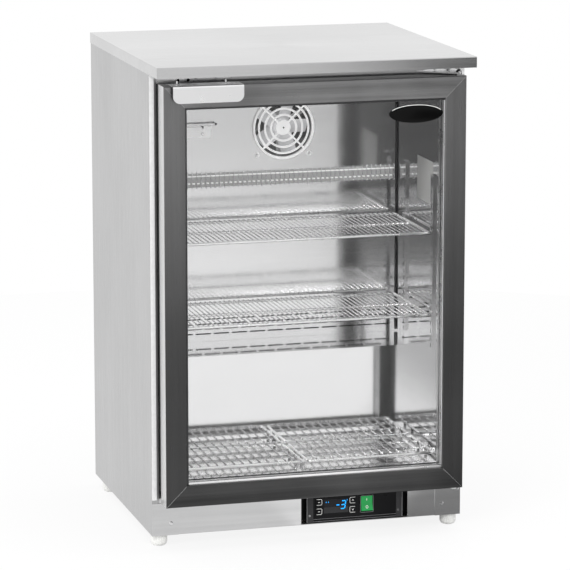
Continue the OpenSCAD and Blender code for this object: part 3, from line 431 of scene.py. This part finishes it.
nodeFinish = {
    "topSteel": ["worktop"],
    "sideSteel": ["side_panel_left", "side_panel_right"],
    "frontSteel": ["face_frame", "corner_plate_left", "corner_plate_right", "fascia_left", "fascia_right"],
    "galvanised": ["rear_panel", "rear_cover", "base_pan", "evap_fan_motor", "condenser_fan_motor"],
    "foam": ["foam_insulation"],
    "linerSteel": ["inner_liner"],
    "panelSteel": ["fan_panel"],
    "blackPlastic": ["control_housing", "controller", "switch_frame", "condenser_fan_blade",
                     "cable_gland"],
    "keyPlastic": ["key_power", "key_set", "key_up", "key_down"],
    "greenLens": ["switch_rocker"],
    "platedSteel": ["hinge_bracket_upper", "hinge_bracket_lower", "hinge_pin_upper", "hinge_pin_lower",
                    "screws"],
    "handleSteelAndHighlight": ["door_handle", "probe_holder"],
    "railDark": ["door_rail_top", "door_rail_bottom"],
    "stileDark": ["door_stile_left", "door_stile_right"],
    "paneGlass": ["glass_outer", "glass_inner"],
    "spacer": ["glass_spacer"],
    "bladeMetal": ["evap_fan_blade"],
    "gasket": ["door_gasket"],
    "whiteCoat": ["fan_guard"],
    "chrome": ["air_grille", "shelf_clips", "shelf_upper", "shelf_lower", "floor_rack_left",
               "floor_rack_right", "pilaster_front_left", "pilaster_front_right", "pilaster_rear_left",
               "pilaster_rear_right"],
    "coilMetal": ["evaporator"],
    "blackSteel": ["compressor", "condenser"],
    "whiteNylon": ["foot_front_left", "foot_front_right", "foot_rear_left", "foot_rear_right"],
}


def finishNodes():
    for finish, names in nodeFinish.items():
        for name in names:
            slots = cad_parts[name].data.materials
            slots.clear()
            slots.append(finishes[finish])


finishNodes()
print("frame pieces finished")


def choose(piece, kind, test):
    bpy.ops.object.mode_set(mode="EDIT")
    bpy.ops.mesh.select_mode(type=kind)
    bpy.ops.mesh.select_all(action="DESELECT")
    bpy.ops.object.mode_set(mode="OBJECT")
    items = {"VERT": piece.data.vertices, "EDGE": piece.data.edges, "FACE": piece.data.polygons}[kind]
    for item in items:
        item.select = test(item)
    bpy.ops.object.mode_set(mode="EDIT")


def leaveEdit():
    bpy.ops.mesh.normals_make_consistent(inside=False)
    bpy.ops.object.mode_set(mode="OBJECT")


def placeAtOrigin(piece):
    clearSelection()
    piece.select_set(True)
    bpy.context.view_layer.objects.active = piece
    bpy.ops.object.transform_apply(location=True, rotation=True, scale=True)


# Every new piece ends here: smooth shading, its finish and its body
def finishPiece(piece, name, finish, body, stands=(), angle=40):
    placeAtOrigin(piece)
    piece.name = name
    bpy.ops.object.shade_smooth_by_angle(angle=radians(angle))
    piece.data.materials.clear()
    piece.data.materials.append(finishes[finish])
    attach(piece, body)
    if stands:
        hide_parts(*stands)
    return piece


def joinPieces(pieces):
    clearSelection()
    for piece in pieces:
        piece.select_set(True)
    bpy.context.view_layer.objects.active = pieces[0]
    bpy.ops.object.join()
    return bpy.context.object


def repeatAlong(piece, count, step):
    array = piece.modifiers.new("row", "ARRAY")
    array.use_relative_offset = False
    array.use_constant_offset = True
    array.constant_offset_displace = step
    array.count = count
    clearSelection()
    piece.select_set(True)
    bpy.context.view_layer.objects.active = piece
    bpy.ops.object.modifier_apply(modifier="row")
    return piece


# Box with every edge rounded
def roundedBox(low, high, radius, segments=3):
    clearSelection()
    centre = [(a + b) / 2 for a, b in zip(low, high)]
    bpy.ops.mesh.primitive_cube_add(size=1, location=centre)
    piece = bpy.context.object
    piece.scale = [b - a for a, b in zip(low, high)]
    placeAtOrigin(piece)
    bpy.ops.object.mode_set(mode="EDIT")
    bpy.ops.mesh.select_all(action="SELECT")
    bpy.ops.mesh.bevel(offset=radius, segments=segments, affect="EDGES")
    leaveEdit()
    return piece


# Straight round wire with rounded ends
def straightWire(start, end, diameter, sides=12, rounding=0.3):
    clearSelection()
    start, end = Vector(start), Vector(end)
    run = end - start
    bpy.ops.mesh.primitive_cylinder_add(vertices=sides, radius=diameter / 2, depth=run.length,
                                        location=(start + end) / 2)
    wire = bpy.context.object
    wire.rotation_euler = run.to_track_quat("Z", "Y").to_euler()
    choose(wire, "FACE", lambda face: len(face.vertices) > 4)
    bpy.ops.mesh.bevel(offset=diameter * rounding, segments=2, affect="EDGES")
    leaveEdit()
    placeAtOrigin(wire)
    return wire


# Wire bent along points, as a closed ring or open
def bentWire(points, diameter, closed, sides=3):
    line = bpy.data.curves.new("bentWire", "CURVE")
    line.dimensions = "3D"
    line.bevel_depth = diameter / 2
    line.bevel_resolution = sides
    line.use_fill_caps = True
    spline = line.splines.new("POLY")
    spline.points.add(len(points) - 1)
    for point, place in zip(spline.points, points):
        point.co = (*place, 1)
    spline.use_cyclic_u = closed
    piece = bpy.data.objects.new("bentWire", line)
    scene.collection.objects.link(piece)
    clearSelection()
    piece.select_set(True)
    bpy.context.view_layer.objects.active = piece
    bpy.ops.object.convert(target="MESH")
    return bpy.context.object


# Points of a flat rounded rectangle; plane says which two axes it lies in
def roundedPath(low, high, radius, level, plane="xy", steps=5):
    corners = [(high[0] - radius, high[1] - radius, 0), (low[0] + radius, high[1] - radius, 90),
               (low[0] + radius, low[1] + radius, 180), (high[0] - radius, low[1] + radius, 270)]
    points = []
    for cx, cy, start in corners:
        for step in range(steps + 1):
            turn = radians(start + 90 * step / steps)
            u, v = cx + radius * cos(turn), cy + radius * sin(turn)
            points.append((u, v, level) if plane == "xy" else (u, level, v))
    return points


# Round disc facing the front with its rims bevelled
def bevelledDisc(centre, radius, depth, rounding, sides, segments=2):
    clearSelection()
    bpy.ops.mesh.primitive_cylinder_add(vertices=sides, radius=radius, depth=depth, location=centre,
                                        rotation=(pi / 2, 0, 0))
    disc = bpy.context.object
    placeAtOrigin(disc)
    choose(disc, "FACE", lambda face: len(face.vertices) > 4)
    bpy.ops.mesh.bevel(offset=rounding, segments=segments, affect="EDGES")
    leaveEdit()
    return disc


shelfWires = {"rim": 5 * mm, "side": 0.924, "fine": 2.4 * mm, "pitch": 9.3 * mm, "corner": 7 * mm}
rackWires = {"wire": 3 * mm, "pitch": 15.5 * mm, "corner": 7 * mm, "legs": 12.7 * mm}


def wireGrid(node, fineWire, pitch, crossPlaces, corner, legLength=0.0):
    low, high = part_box(node)
    rim = shelfWires["rim"]
    inset = rim / 2 * shelfWires["side"]
    x0, x1 = low.x + rim / 2, high.x - rim / 2
    y0, y1 = low.y + inset, high.y - inset
    topZ = high.z - fineWire / 2 * shelfWires["side"]
    rimZ = topZ - rim / 2 - fineWire / 2 + 0.5 * mm
    ring = bentWire(roundedPath((x0, y0), (x1, y1), corner, rimZ), rim, True)
    parts = []
    count = int((x1 - x0 - rim) / pitch)
    step = (x1 - x0) / count
    wire = straightWire((x0 + step, y0 - 1 * mm, topZ), (x0 + step, y1 + 1 * mm, topZ), fineWire, 10)
    parts.append(repeatAlong(wire, count - 1, (step, 0, 0)))
    for share in crossPlaces:
        y = y0 + (y1 - y0) * share
        parts.append(straightWire((x0, y, rimZ), (x1, y, rimZ), rim))
        if legLength:
            for x in (x0, x1):
                parts.append(straightWire((x, y, rimZ - legLength), (x, y, rimZ), rim))
    return joinPieces(parts), ring


def makeShelves():
    for name, node, body in (("upperShelf", "shelf_upper", "upper_shelf"),
                             ("lowerShelf", "shelf_lower", "lower_shelf")):
        shelf, ring = wireGrid(node, shelfWires["fine"], shelfWires["pitch"], [0.5], shelfWires["corner"])
        finishPiece(shelf, name, "chrome", body, [node])
        finishPiece(ring, name + "Rim", "rimSteel", body)
    for name, node, body in (("leftRack", "floor_rack_left", "left_rack"),
                             ("rightRack", "floor_rack_right", "right_rack")):
        rack, ring = wireGrid(node, rackWires["wire"], rackWires["pitch"], [1 / 3, 2 / 3],
                              rackWires["corner"], rackWires["legs"])
        finishPiece(rack, name, "rackChrome", body, [node])
        finishPiece(ring, name + "Rim", "rimSteel", body)


grilleWires = {"upright": 2 * mm, "pitch": 9 * mm, "rows": (0.32, 0.75), "beads": (0.5, 0.8),
               "rail": 2.6 * mm, "proud": 1.5 * mm, "inset": 4 * mm, "baffle": 12 * mm}


def makeGrille():
    low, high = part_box("air_grille")
    y = (low.y + high.y) / 2
    inset = grilleWires["inset"]
    count = int((high.x - low.x - 2 * inset) / grilleWires["pitch"])
    step = (high.x - low.x - 2 * inset) / count
    start = low.x + inset
    upright = straightWire((start, y, low.z), (start, y, high.z), grilleWires["upright"], 10)
    uprights = repeatAlong(upright, count + 1, (step, 0, 0))
    rails = []
    for row, share in zip(grilleWires["rows"], grilleWires["beads"]):
        z = low.z + (high.z - low.z) * row
        front = y - grilleWires["proud"]
        bead = straightWire((start, front, z), (start + step * share, front, z), grilleWires["rail"])
        rails.append(repeatAlong(bead, count, (step, 0, 0)))
    finishPiece(uprights, "airGrille", "chrome", "cabinet", ["air_grille"])
    finishPiece(joinPieces(rails), "grilleRails", "whiteCoat", "cabinet")
    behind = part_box("fan_panel")[1].y + 1 * mm
    baffle = roundedBox((low.x, behind, low.z - grilleWires["baffle"]),
                        (high.x, behind + 1 * mm, high.z + grilleWires["baffle"]), 0.3 * mm)
    finishPiece(baffle, "ductBaffle", "baffleGrey", "cabinet")


makeShelves()
makeGrille()
print("shelves, racks and grille made")


guardSizes = {"wire": 4.0 * mm, "rings": (25, 37, 49, 58.5), "hub": 14 * mm, "hubDepth": 3.4 * mm,
              "eye": 73 * mm, "eyeRadius": 3.6 * mm, "eyeWire": 2.2 * mm, "dot": 1.8 * mm}


def makeFanGuard():
    low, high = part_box("fan_guard")
    centre = (low + high) / 2
    wire = guardSizes["wire"]
    panelY = high.y
    parts = []
    for radius in guardSizes["rings"]:
        clearSelection()
        middle = (centre.x, panelY - wire * 1.35, centre.z)
        bpy.ops.mesh.primitive_torus_add(major_radius=radius * mm, minor_radius=wire / 2, major_segments=72,
                                         minor_segments=12, location=middle, rotation=(pi / 2, 0, 0))
        parts.append(bpy.context.object)
        placeAtOrigin(parts[-1])
    for quarter in range(4):
        turn = radians(45 + 90 * quarter)
        out = Vector((cos(turn), 0, sin(turn)))
        start = Vector((centre.x, panelY - wire / 2, centre.z))
        reach = guardSizes["rings"][-1] * mm
        parts.append(straightWire(start + out * 8 * mm, start + out * reach, wire * 0.8))
        eye = start + out * guardSizes["eye"]
        clearSelection()
        half = guardSizes["eyeWire"] / 2
        bpy.ops.mesh.primitive_torus_add(major_radius=guardSizes["eyeRadius"], minor_radius=half,
                                         major_segments=24, minor_segments=10,
                                         location=(eye.x, panelY - half, eye.z), rotation=(pi / 2, 0, 0))
        parts.append(bpy.context.object)
        placeAtOrigin(parts[-1])
    dot = bevelledDisc((centre.x, panelY - 4.4 * mm, centre.z), guardSizes["dot"], 0.8 * mm, 0.2 * mm, 24)
    finishPiece(dot, "hubCentre", "blackPlastic", "cabinet")
    hub = discPiece((centre.x, panelY - 2.4 * mm, centre.z), guardSizes["hub"], guardSizes["hubDepth"],
                    1.2 * mm)
    parts.append(hub)
    finishPiece(joinPieces(parts), "fanGuard", "whiteCoat", "cabinet", ["fan_guard"])


# Round disc facing the front, its rim rounded and its middle dished
def discPiece(centre, radius, depth, rounding):
    disc = bevelledDisc(centre, radius, depth, rounding, 48, 3)
    choose(disc, "FACE", lambda face: len(face.vertices) > 4 and face.normal.y < -0.5)
    bpy.ops.mesh.inset(thickness=radius * 0.55)
    bpy.ops.transform.translate(value=(0, 0.5 * mm, 0))
    leaveEdit()
    return disc


makeFanGuard()
print("fan guard made")


beadSizes = {"wall": 0.8 * mm, "gap": 0.1 * mm}


# Bright channel that lines the door opening, one ring between the panes and one behind them
def makeGlazingBead():
    outer, inner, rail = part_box("glass_outer"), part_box("glass_inner"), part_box("door_rail_top")
    barWidth = rail[1].z - rail[0].z
    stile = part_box("door_stile_right")
    halfWidth = stile[1].x - barWidth
    low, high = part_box("door_rail_bottom")[1].z, rail[0].z
    rings = []
    for front, back in ((outer[1].y, inner[0].y), (inner[1].y, rail[1].y)):
        front, back = front + beadSizes["gap"], back - beadSizes["gap"]
        clearSelection()
        bpy.ops.mesh.primitive_plane_add(size=1, location=(0, front, (low + high) / 2),
                                         rotation=(pi / 2, 0, 0))
        ring = bpy.context.object
        ring.scale = (2 * halfWidth, high - low, 1)
        placeAtOrigin(ring)
        bpy.ops.object.mode_set(mode="EDIT")
        bpy.ops.mesh.select_all(action="SELECT")
        bpy.ops.mesh.extrude_region_move(TRANSFORM_OT_translate={"value": (0, back - front, 0)})
        bpy.ops.object.mode_set(mode="OBJECT")
        choose(ring, "FACE", lambda face: abs(face.normal.y) > 0.5)
        bpy.ops.mesh.delete(type="FACE")
        leaveEdit()
        wall = ring.modifiers.new("wall", "SOLIDIFY")
        wall.thickness = beadSizes["wall"]
        wall.offset = -1
        bpy.ops.object.modifier_apply(modifier="wall")
        rings.append(ring)
    finishPiece(joinPieces(rings), "glazingBead", "spacer", "door", angle=20)


makeGlazingBead()
print("glazing bead made")


# Flat mark along points that face the front: the points are x and z, the mark stands proud of level
def frontLine(points, level, width):
    piece = bentWire([(x, 0, z) for x, z in points], width, False)
    piece.scale = (1, 0.12, 1)
    placeAtOrigin(piece)
    piece.location = (0, level - 0.08 * width, 0)
    placeAtOrigin(piece)
    return piece


strip = {"line": 0.75 * mm, "margin": 2.0 * mm, "corner": 2.2 * mm, "backPlate": 11 * mm, "flange": 12 * mm,
         "ends": 0.5 * mm, "ribs": (1.5 * mm, 6 * mm), "switchRim": 0.8 * mm}


# Outline open on one side round a key, with its open ends away from the lens
def keyOutline(name, openSide):
    low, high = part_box(name)
    reach, corner = strip["margin"], strip["corner"]
    inner = high.x + reach * 0.6 if openSide < 0 else low.x - reach * 0.6
    outer = low.x if openSide < 0 else high.x
    top, bottom = high.z + reach, low.z - reach
    bend = inner + openSide * corner
    points = [(outer, top), (bend, top)]
    for step in range(1, 5):
        turn = radians(90 * step / 5)
        points.append((bend - openSide * corner * sin(turn), top - corner * (1 - cos(turn))))
    points.append((inner, top - corner))
    points += [(x, top + bottom - z) for x, z in reversed(points)]
    return points


def makeKeyMarks():
    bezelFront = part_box("controller")[0].y
    outlines = [frontLine(keyOutline(name, side), bezelFront, strip["line"])
                for name, side in (("key_power", -1), ("key_set", -1), ("key_up", 1), ("key_down", 1))]
    finishPiece(joinPieces(outlines), "keyOutlines", "whiteInkAndHighlight", "cabinet")
    shapes = {"power": [(-1, 0), (1, 0)], "set": [(-1, 0), (1, 0)],
              "up": [(-0.9, -0.5), (0, 0.7), (0.9, -0.5)], "down": [(-0.9, 0.5), (0, -0.7), (0.9, 0.5)]}
    for key, shape in shapes.items():
        low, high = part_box("key_" + key)
        middle = (low + high) / 2
        points = [(middle.x + x * 2 * mm, middle.z + z * 2 * mm) for x, z in shape]
        mark = frontLine(points, low.y, strip["line"] * 1.4)
        finishPiece(mark, key + "Mark", "whiteInkAndHighlight", key + "_key")


# Places on the lens are shares of its width and height; the lamps are short dashes
display = {"thick": 0.3 * mm, "deep": 0.12 * mm, "left": 4.7 * mm, "right": 3.7 * mm, "ends": 4.3 * mm,
           "digit": 15 * mm, "line": 2.0 * mm, "slant": 0.16, "digitAt": (0.78, 0.56), "dashAt": 0.57,
           "dashSize": 0.85, "lamps": ((0.10, 0.80), (0.19, 0.80), (0.94, 0.88)), "lampHalf": 0.5 * mm,
           "lampLine": 1.15, "bandTop": 0.44, "bandInset": 0.5 * mm}
# Bars of the digit, each by its two ends in half widths and half heights
digitBars = {"top": (-1, 1, 1, 1), "middle": (-1, 0, 1, 0), "bottom": (-1, -1, 1, -1),
             "upperRight": (1, 0, 1, 1), "lowerRight": (1, -1, 1, 0)}


def digitPieces(bars, middle, size, level, width):
    parts = []
    for bar in bars:
        x0, z0, x1, z1 = digitBars[bar]
        ends = [(middle[0] + (x * 0.27 + z * 0.5 * display["slant"]) * size, middle[1] + z * size / 2)
                for x, z in ((x0, z0), (x1, z1))]
        trimmed = [tuple(a + (b - a) * share for a, b in zip(*ends)) for share in (0.1, 0.9)]
        parts.append(frontLine(trimmed, level, width))
    return parts


def makeDisplay():
    low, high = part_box("controller")
    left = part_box("key_power")[1].x + display["left"]
    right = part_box("key_up")[0].x - display["right"]
    bottom, top = low.z + display["ends"], high.z - display["ends"]
    front = low.y + display["deep"]
    lens = roundedBox((left, front, bottom), (right, front + display["thick"], top), 0.12 * mm)
    finishPiece(lens, "displayLens", "lensPlastic", "cabinet")
    face = front - 0.01 * mm
    wide, tall = right - left, top - bottom
    size, line = display["digit"], display["line"]
    main = (left + wide * display["digitAt"][0], bottom + tall * display["digitAt"][1])
    dash = (left + wide * display["dashAt"], main[1])
    lit = digitPieces(["top", "upperRight", "middle", "lowerRight", "bottom"], main, size, face, line)
    lit += digitPieces(["middle"], dash, size * display["dashSize"], face, line)
    half = display["lampHalf"]
    for shareX, shareZ in display["lamps"]:
        x, z = left + wide * shareX, bottom + tall * shareZ
        lit.append(frontLine([(x - half, z), (x + half, z)], face, line * display["lampLine"]))
    finishPiece(joinPieces(lit), "litDigits", "litBlue", "cabinet")
    inset = display["bandInset"]
    band = roundedBox((left + inset, face - 0.01 * mm, bottom + inset),
                      (right - inset, face, bottom + tall * display["bandTop"]), 0.004 * mm, 1)
    finishPiece(band, "displayBand", "stripPlastic", "cabinet")


def makeStripTrim():
    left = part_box("fascia_left")[1].x + strip["backPlate"]
    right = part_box("fascia_right")[0].x - strip["backPlate"]
    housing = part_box("control_housing")
    bottom, top = housing[0].z + strip["ends"], housing[1].z - strip["ends"]
    front = housing[0].y
    wide, outer, inner = strip["flange"], front - 0.12 * mm, front - 0.02 * mm
    flanges = [roundedBox((x, outer, bottom), (x + wide, inner, top), 0.04 * mm)
               for x in (left, right - wide)]
    finishPiece(joinPieces(flanges), "flangeStrips", "stripPlastic", "cabinet")
    # painted highlights: pale lines along the plate's outer edges, along the bottom rib and round the switch
    # frame
    edgeY, ribY = front - 0.2 * mm, front - 0.1 * mm
    edges = [straightWire((x, edgeY, bottom), (x, edgeY, top), 0.8 * mm) for x in (left, right)]
    edges += [straightWire((left + wide, ribY, bottom + rise), (right - wide, ribY, bottom + rise), 0.5 * mm)
              for rise in strip["ribs"]]
    frameLow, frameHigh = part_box("switch_frame")
    inset = strip["switchRim"]
    ring = roundedPath((frameLow.x + inset, frameLow.z + inset), (frameHigh.x - inset, frameHigh.z - inset),
                       1.5 * mm, frameLow.y, "xz")
    edges.append(bentWire(ring, 0.6 * mm, True))
    finishPiece(joinPieces(edges), "stripEdgeHighlights", "paleHighlight", "cabinet")


rockerMarks = {"bar": 2.2 * mm, "ringWide": 2.0 * mm, "ringTall": 2.4 * mm, "line": 0.9 * mm}


# Marks on the rocker's two tilted halves: a bar on the upper one and a ring on the lower one
def makeRockerMarks():
    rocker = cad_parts["switch_rocker"]
    low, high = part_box("switch_rocker")
    middle = (low + high) / 2
    spots = {}
    for face in rocker.data.polygons:
        where = rocker.matrix_world @ face.center
        if face.normal.y < -0.9:
            side = "upper" if where.z > middle.z else "lower"
            if side not in spots or face.area > spots[side][0]:
                spots[side] = (face.area, where, face.normal.copy())
    marks = []
    for side, height in (("upper", 0.5), ("lower", -0.5)):
        where, normal = spots[side][1:]
        z = middle.z + height * (high.z - middle.z)
        level = where.y - (z - where.z) * normal.z / normal.y
        if side == "upper":
            points = [(middle.x, z + end * rockerMarks["bar"]) for end in (1, -1)]
        else:
            points = [(middle.x + rockerMarks["ringWide"] * cos(radians(turn)),
                       z + rockerMarks["ringTall"] * sin(radians(turn))) for turn in range(0, 361, 15)]
        mark = frontLine(points, 0, rockerMarks["line"])
        tilt = normal.z / -normal.y
        for vertex in mark.data.vertices:
            vertex.co.y += level - 0.05 * mm + (vertex.co.z - z) * tilt
        marks.append(mark)
    finishPiece(joinPieces(marks), "rockerMarks", "whiteInkAndHighlight", "rocker")


makeKeyMarks()
makeDisplay()
makeStripTrim()
makeRockerMarks()
print("control strip marks made")


badge = {"width": 103 * mm, "height": 34 * mm, "thick": 0.5 * mm, "fromRight": 4 * mm, "down": 9.6 * mm,
         "rimInset": 1.2 * mm, "rimLine": 1.0 * mm, "rimFrom": 20, "rimTo": 155}


# Blank oval badge on the outer pane with a painted highlight: a bright crescent along its top
def makeBadge():
    glass, rail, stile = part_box("glass_outer"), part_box("door_rail_top"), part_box("door_stile_right")
    barWidth = rail[1].z - rail[0].z
    halfWide, halfTall = badge["width"] / 2, badge["height"] / 2
    cx = stile[1].x - barWidth - badge["fromRight"] - halfWide
    cz = rail[0].z - badge["down"] - halfTall
    y = glass[0].y - badge["thick"] / 2 - 0.05 * mm
    oval = bevelledDisc((0, 0, 0), halfTall, badge["thick"], 0.15 * mm, 96)
    oval.scale = (badge["width"] / badge["height"], 1, 1)
    oval.location = (cx, y, cz)
    finishPiece(oval, "ovalBadge", "badgeEnamel", "door")
    # painted highlight along the top of the badge's rim
    rim = []
    for turn in range(badge["rimFrom"], badge["rimTo"] + 1, 5):
        angle = radians(turn)
        rim.append((cx + (halfWide - badge["rimInset"]) * cos(angle),
                    cz + (halfTall - badge["rimInset"]) * sin(angle)))
    rimHighlight = frontLine(rim, y - badge["thick"] / 2, badge["rimLine"])
    finishPiece(rimHighlight, "badgeRimHighlight", "whiteInkAndHighlight", "door")


label = {"front": -138 * mm, "back": -44 * mm, "low": 604 * mm, "high": 686 * mm, "thick": 0.3 * mm,
         "rounding": 0.1 * mm}


def makeWallLabel():
    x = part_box("pilaster_front_right")[1].x - 0.1 * mm
    paper = roundedBox((x - label["thick"], label["front"], label["low"]),
                       (x, label["back"], label["high"]), label["rounding"])
    finishPiece(paper, "wallLabel", "labelPaper", "cabinet")


topParts = {"post": 3 * mm, "postHeight": 6.5 * mm, "postPlaces": (0.11, 0.80), "postInset": 9 * mm,
            "plateLeft": 1 * mm, "plateRight": 69 * mm, "plateUnder": 0.6 * mm, "thick": 0.9 * mm,
            "holes": (40, 59), "hole": 5.5 * mm, "holeRise": 5.5 * mm, "plugDepth": 0.3 * mm}


def makeTopParts():
    low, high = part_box("door_handle")
    posts = []
    for share in topParts["postPlaces"]:
        x = low.x + (high.x - low.x) * share
        y = high.y - topParts["postInset"]
        posts.append(straightWire((x, y, high.z + 0.05 * mm), (x, y, high.z + topParts["postHeight"]),
                                  topParts["post"], 24))
    finishPiece(joinPieces(posts), "handleScrews", "handleSteelAndHighlight", "door")
    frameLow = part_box("face_frame")[0]
    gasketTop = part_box("door_gasket")[1].z
    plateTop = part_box("worktop")[0].z - topParts["plateUnder"]
    y = frameLow.y - 0.05 * mm
    plate = roundedBox((frameLow.x + topParts["plateLeft"], y - topParts["thick"], gasketTop + 0.5 * mm),
                       (frameLow.x + topParts["plateRight"], y, plateTop), 0.2 * mm)
    finishPiece(plate, "spareHingePlate", "handleSteelAndHighlight", "cabinet")
    discs = []
    plugY, plugZ = y - topParts["thick"] - 0.16 * mm, gasketTop + topParts["holeRise"]
    for place in topParts["holes"]:
        discs.append(bevelledDisc((frameLow.x + place * mm, plugY, plugZ), topParts["hole"] / 2,
                                  topParts["plugDepth"], 0.08 * mm, 32))
    finishPiece(joinPieces(discs), "spareHingePlugs", "darkHole", "cabinet")


paneLines = {"dark": 3.5 * mm, "bright": 1.8 * mm, "sill": 5 * mm, "mitre": 0.5 * mm, "mitreInset": 1.5 * mm,
        "thick": 0.5 * mm, "gap": 0.05 * mm, "rounding": 0.15 * mm}


# Painted shade as a dark line on the pane along the top and left of the opening, painted highlight as a
# bright one along the other two sides
def makePaneShadeHighlightAndMitres():
    rail, foot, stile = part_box("door_rail_top"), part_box("door_rail_bottom"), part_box("door_stile_right")
    halfWidth = stile[1].x - (rail[1].z - rail[0].z) - paneLines["gap"]
    top, bottom = rail[0].z - paneLines["gap"], foot[1].z + paneLines["gap"]
    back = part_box("glass_outer")[0].y - paneLines["gap"]
    front = back - paneLines["thick"]
    dark, bright, gap = paneLines["dark"], paneLines["bright"], paneLines["gap"]
    rounding, sill = paneLines["rounding"], bottom + paneLines["sill"]
    # painted shade: dark lines along the top and left of the opening
    darkLines = [roundedBox((-halfWidth, front, top - dark), (halfWidth, back, top), rounding),
             roundedBox((-halfWidth, front, bottom), (-halfWidth + dark, back, top - dark - gap), rounding)]
    finishPiece(joinPieces(darkLines), "paneShadeLine", "gasket", "door")
    # painted highlight: bright strips along the bottom and right of the opening
    highlightStrips = [roundedBox((-halfWidth + dark + gap, front, bottom), (halfWidth, back, sill), rounding),
              roundedBox((halfWidth - bright, front, sill + gap), (halfWidth, back, top - dark - gap),
                         rounding)]
    finishPiece(joinPieces(highlightStrips), "paneHighlightLine", "handleSteelAndHighlight", "door")
    y = rail[0].y + 0.1 * mm
    inset = paneLines["mitreInset"]
    corners = ((rail[1].z - inset, rail[0].z + inset), (foot[0].z + inset, foot[1].z - inset))
    edges = []
    for side in (-1, 1):
        outerX, innerX = side * (stile[1].x - inset), side * (halfWidth + inset)
        for outerZ, innerZ in corners:
            edges.append(straightWire((outerX, y, outerZ), (innerX, y, innerZ), paneLines["mitre"]))
    finishPiece(joinPieces(edges), "mitreLines", "spacer", "door")


cornerLine = {"wire": 3 * mm, "inFront": 1.6 * mm, "inset": 1.7 * mm, "ends": 3 * mm}


# Dark line down each rear corner of the chamber
def makeCornerLines():
    low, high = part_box("fan_panel")
    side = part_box("pilaster_front_right")[1].x
    y, reach = low.y - cornerLine["inFront"], side - cornerLine["inset"]
    bottom, top = low.z + cornerLine["ends"], high.z - cornerLine["ends"]
    darkLines = [straightWire((x, y, bottom), (x, y, top), cornerLine["wire"], 16) for x in (-reach, reach)]
    finishPiece(joinPieces(darkLines), "cornerLines", "gasket", "cabinet")


flange = {"thick": 0.4 * mm, "gap": 0.4 * mm, "shade": 4.6 * mm}
probe = {"y": 76 * mm, "z": 742 * mm, "tip": 4 * mm}


# Painted highlight as a bright glowing skin on the side panels' front flanges, and the probe's black tip
def makeFlangeHighlightAndProbeTip():
    frameLow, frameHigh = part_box("face_frame")
    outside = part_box("side_panel_right")[1].x - flange["gap"]
    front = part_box("side_panel_right")[0].y - 0.05 * mm
    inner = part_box("door_stile_right")[1].x + flange["shade"]
    bottom, top = frameLow.z, frameHigh.z - flange["gap"]
    flangeLights = [roundedBox((left, front - flange["thick"], bottom), (right, front, top), 0.1 * mm)
             for left, right in ((-outside, -inner), (inner, outside))]
    finishPiece(joinPieces(flangeLights), "flangeHighlights", "flangeHighlight", "cabinet")
    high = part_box("probe_holder")[1]
    start, end = high.x + 0.1 * mm, high.x + probe["tip"]
    tip = straightWire((start, probe["y"], probe["z"]), (end, probe["y"], probe["z"]),
                       2 * (high.z - probe["z"]), 20)
    finishPiece(tip, "probeTip", "blackPlastic", "cabinet")


makePaneShadeHighlightAndMitres()
makeFlangeHighlightAndProbeTip()
makeCornerLines()
makeBadge()
makeWallLabel()
makeTopParts()
print("badge, label and top parts made")
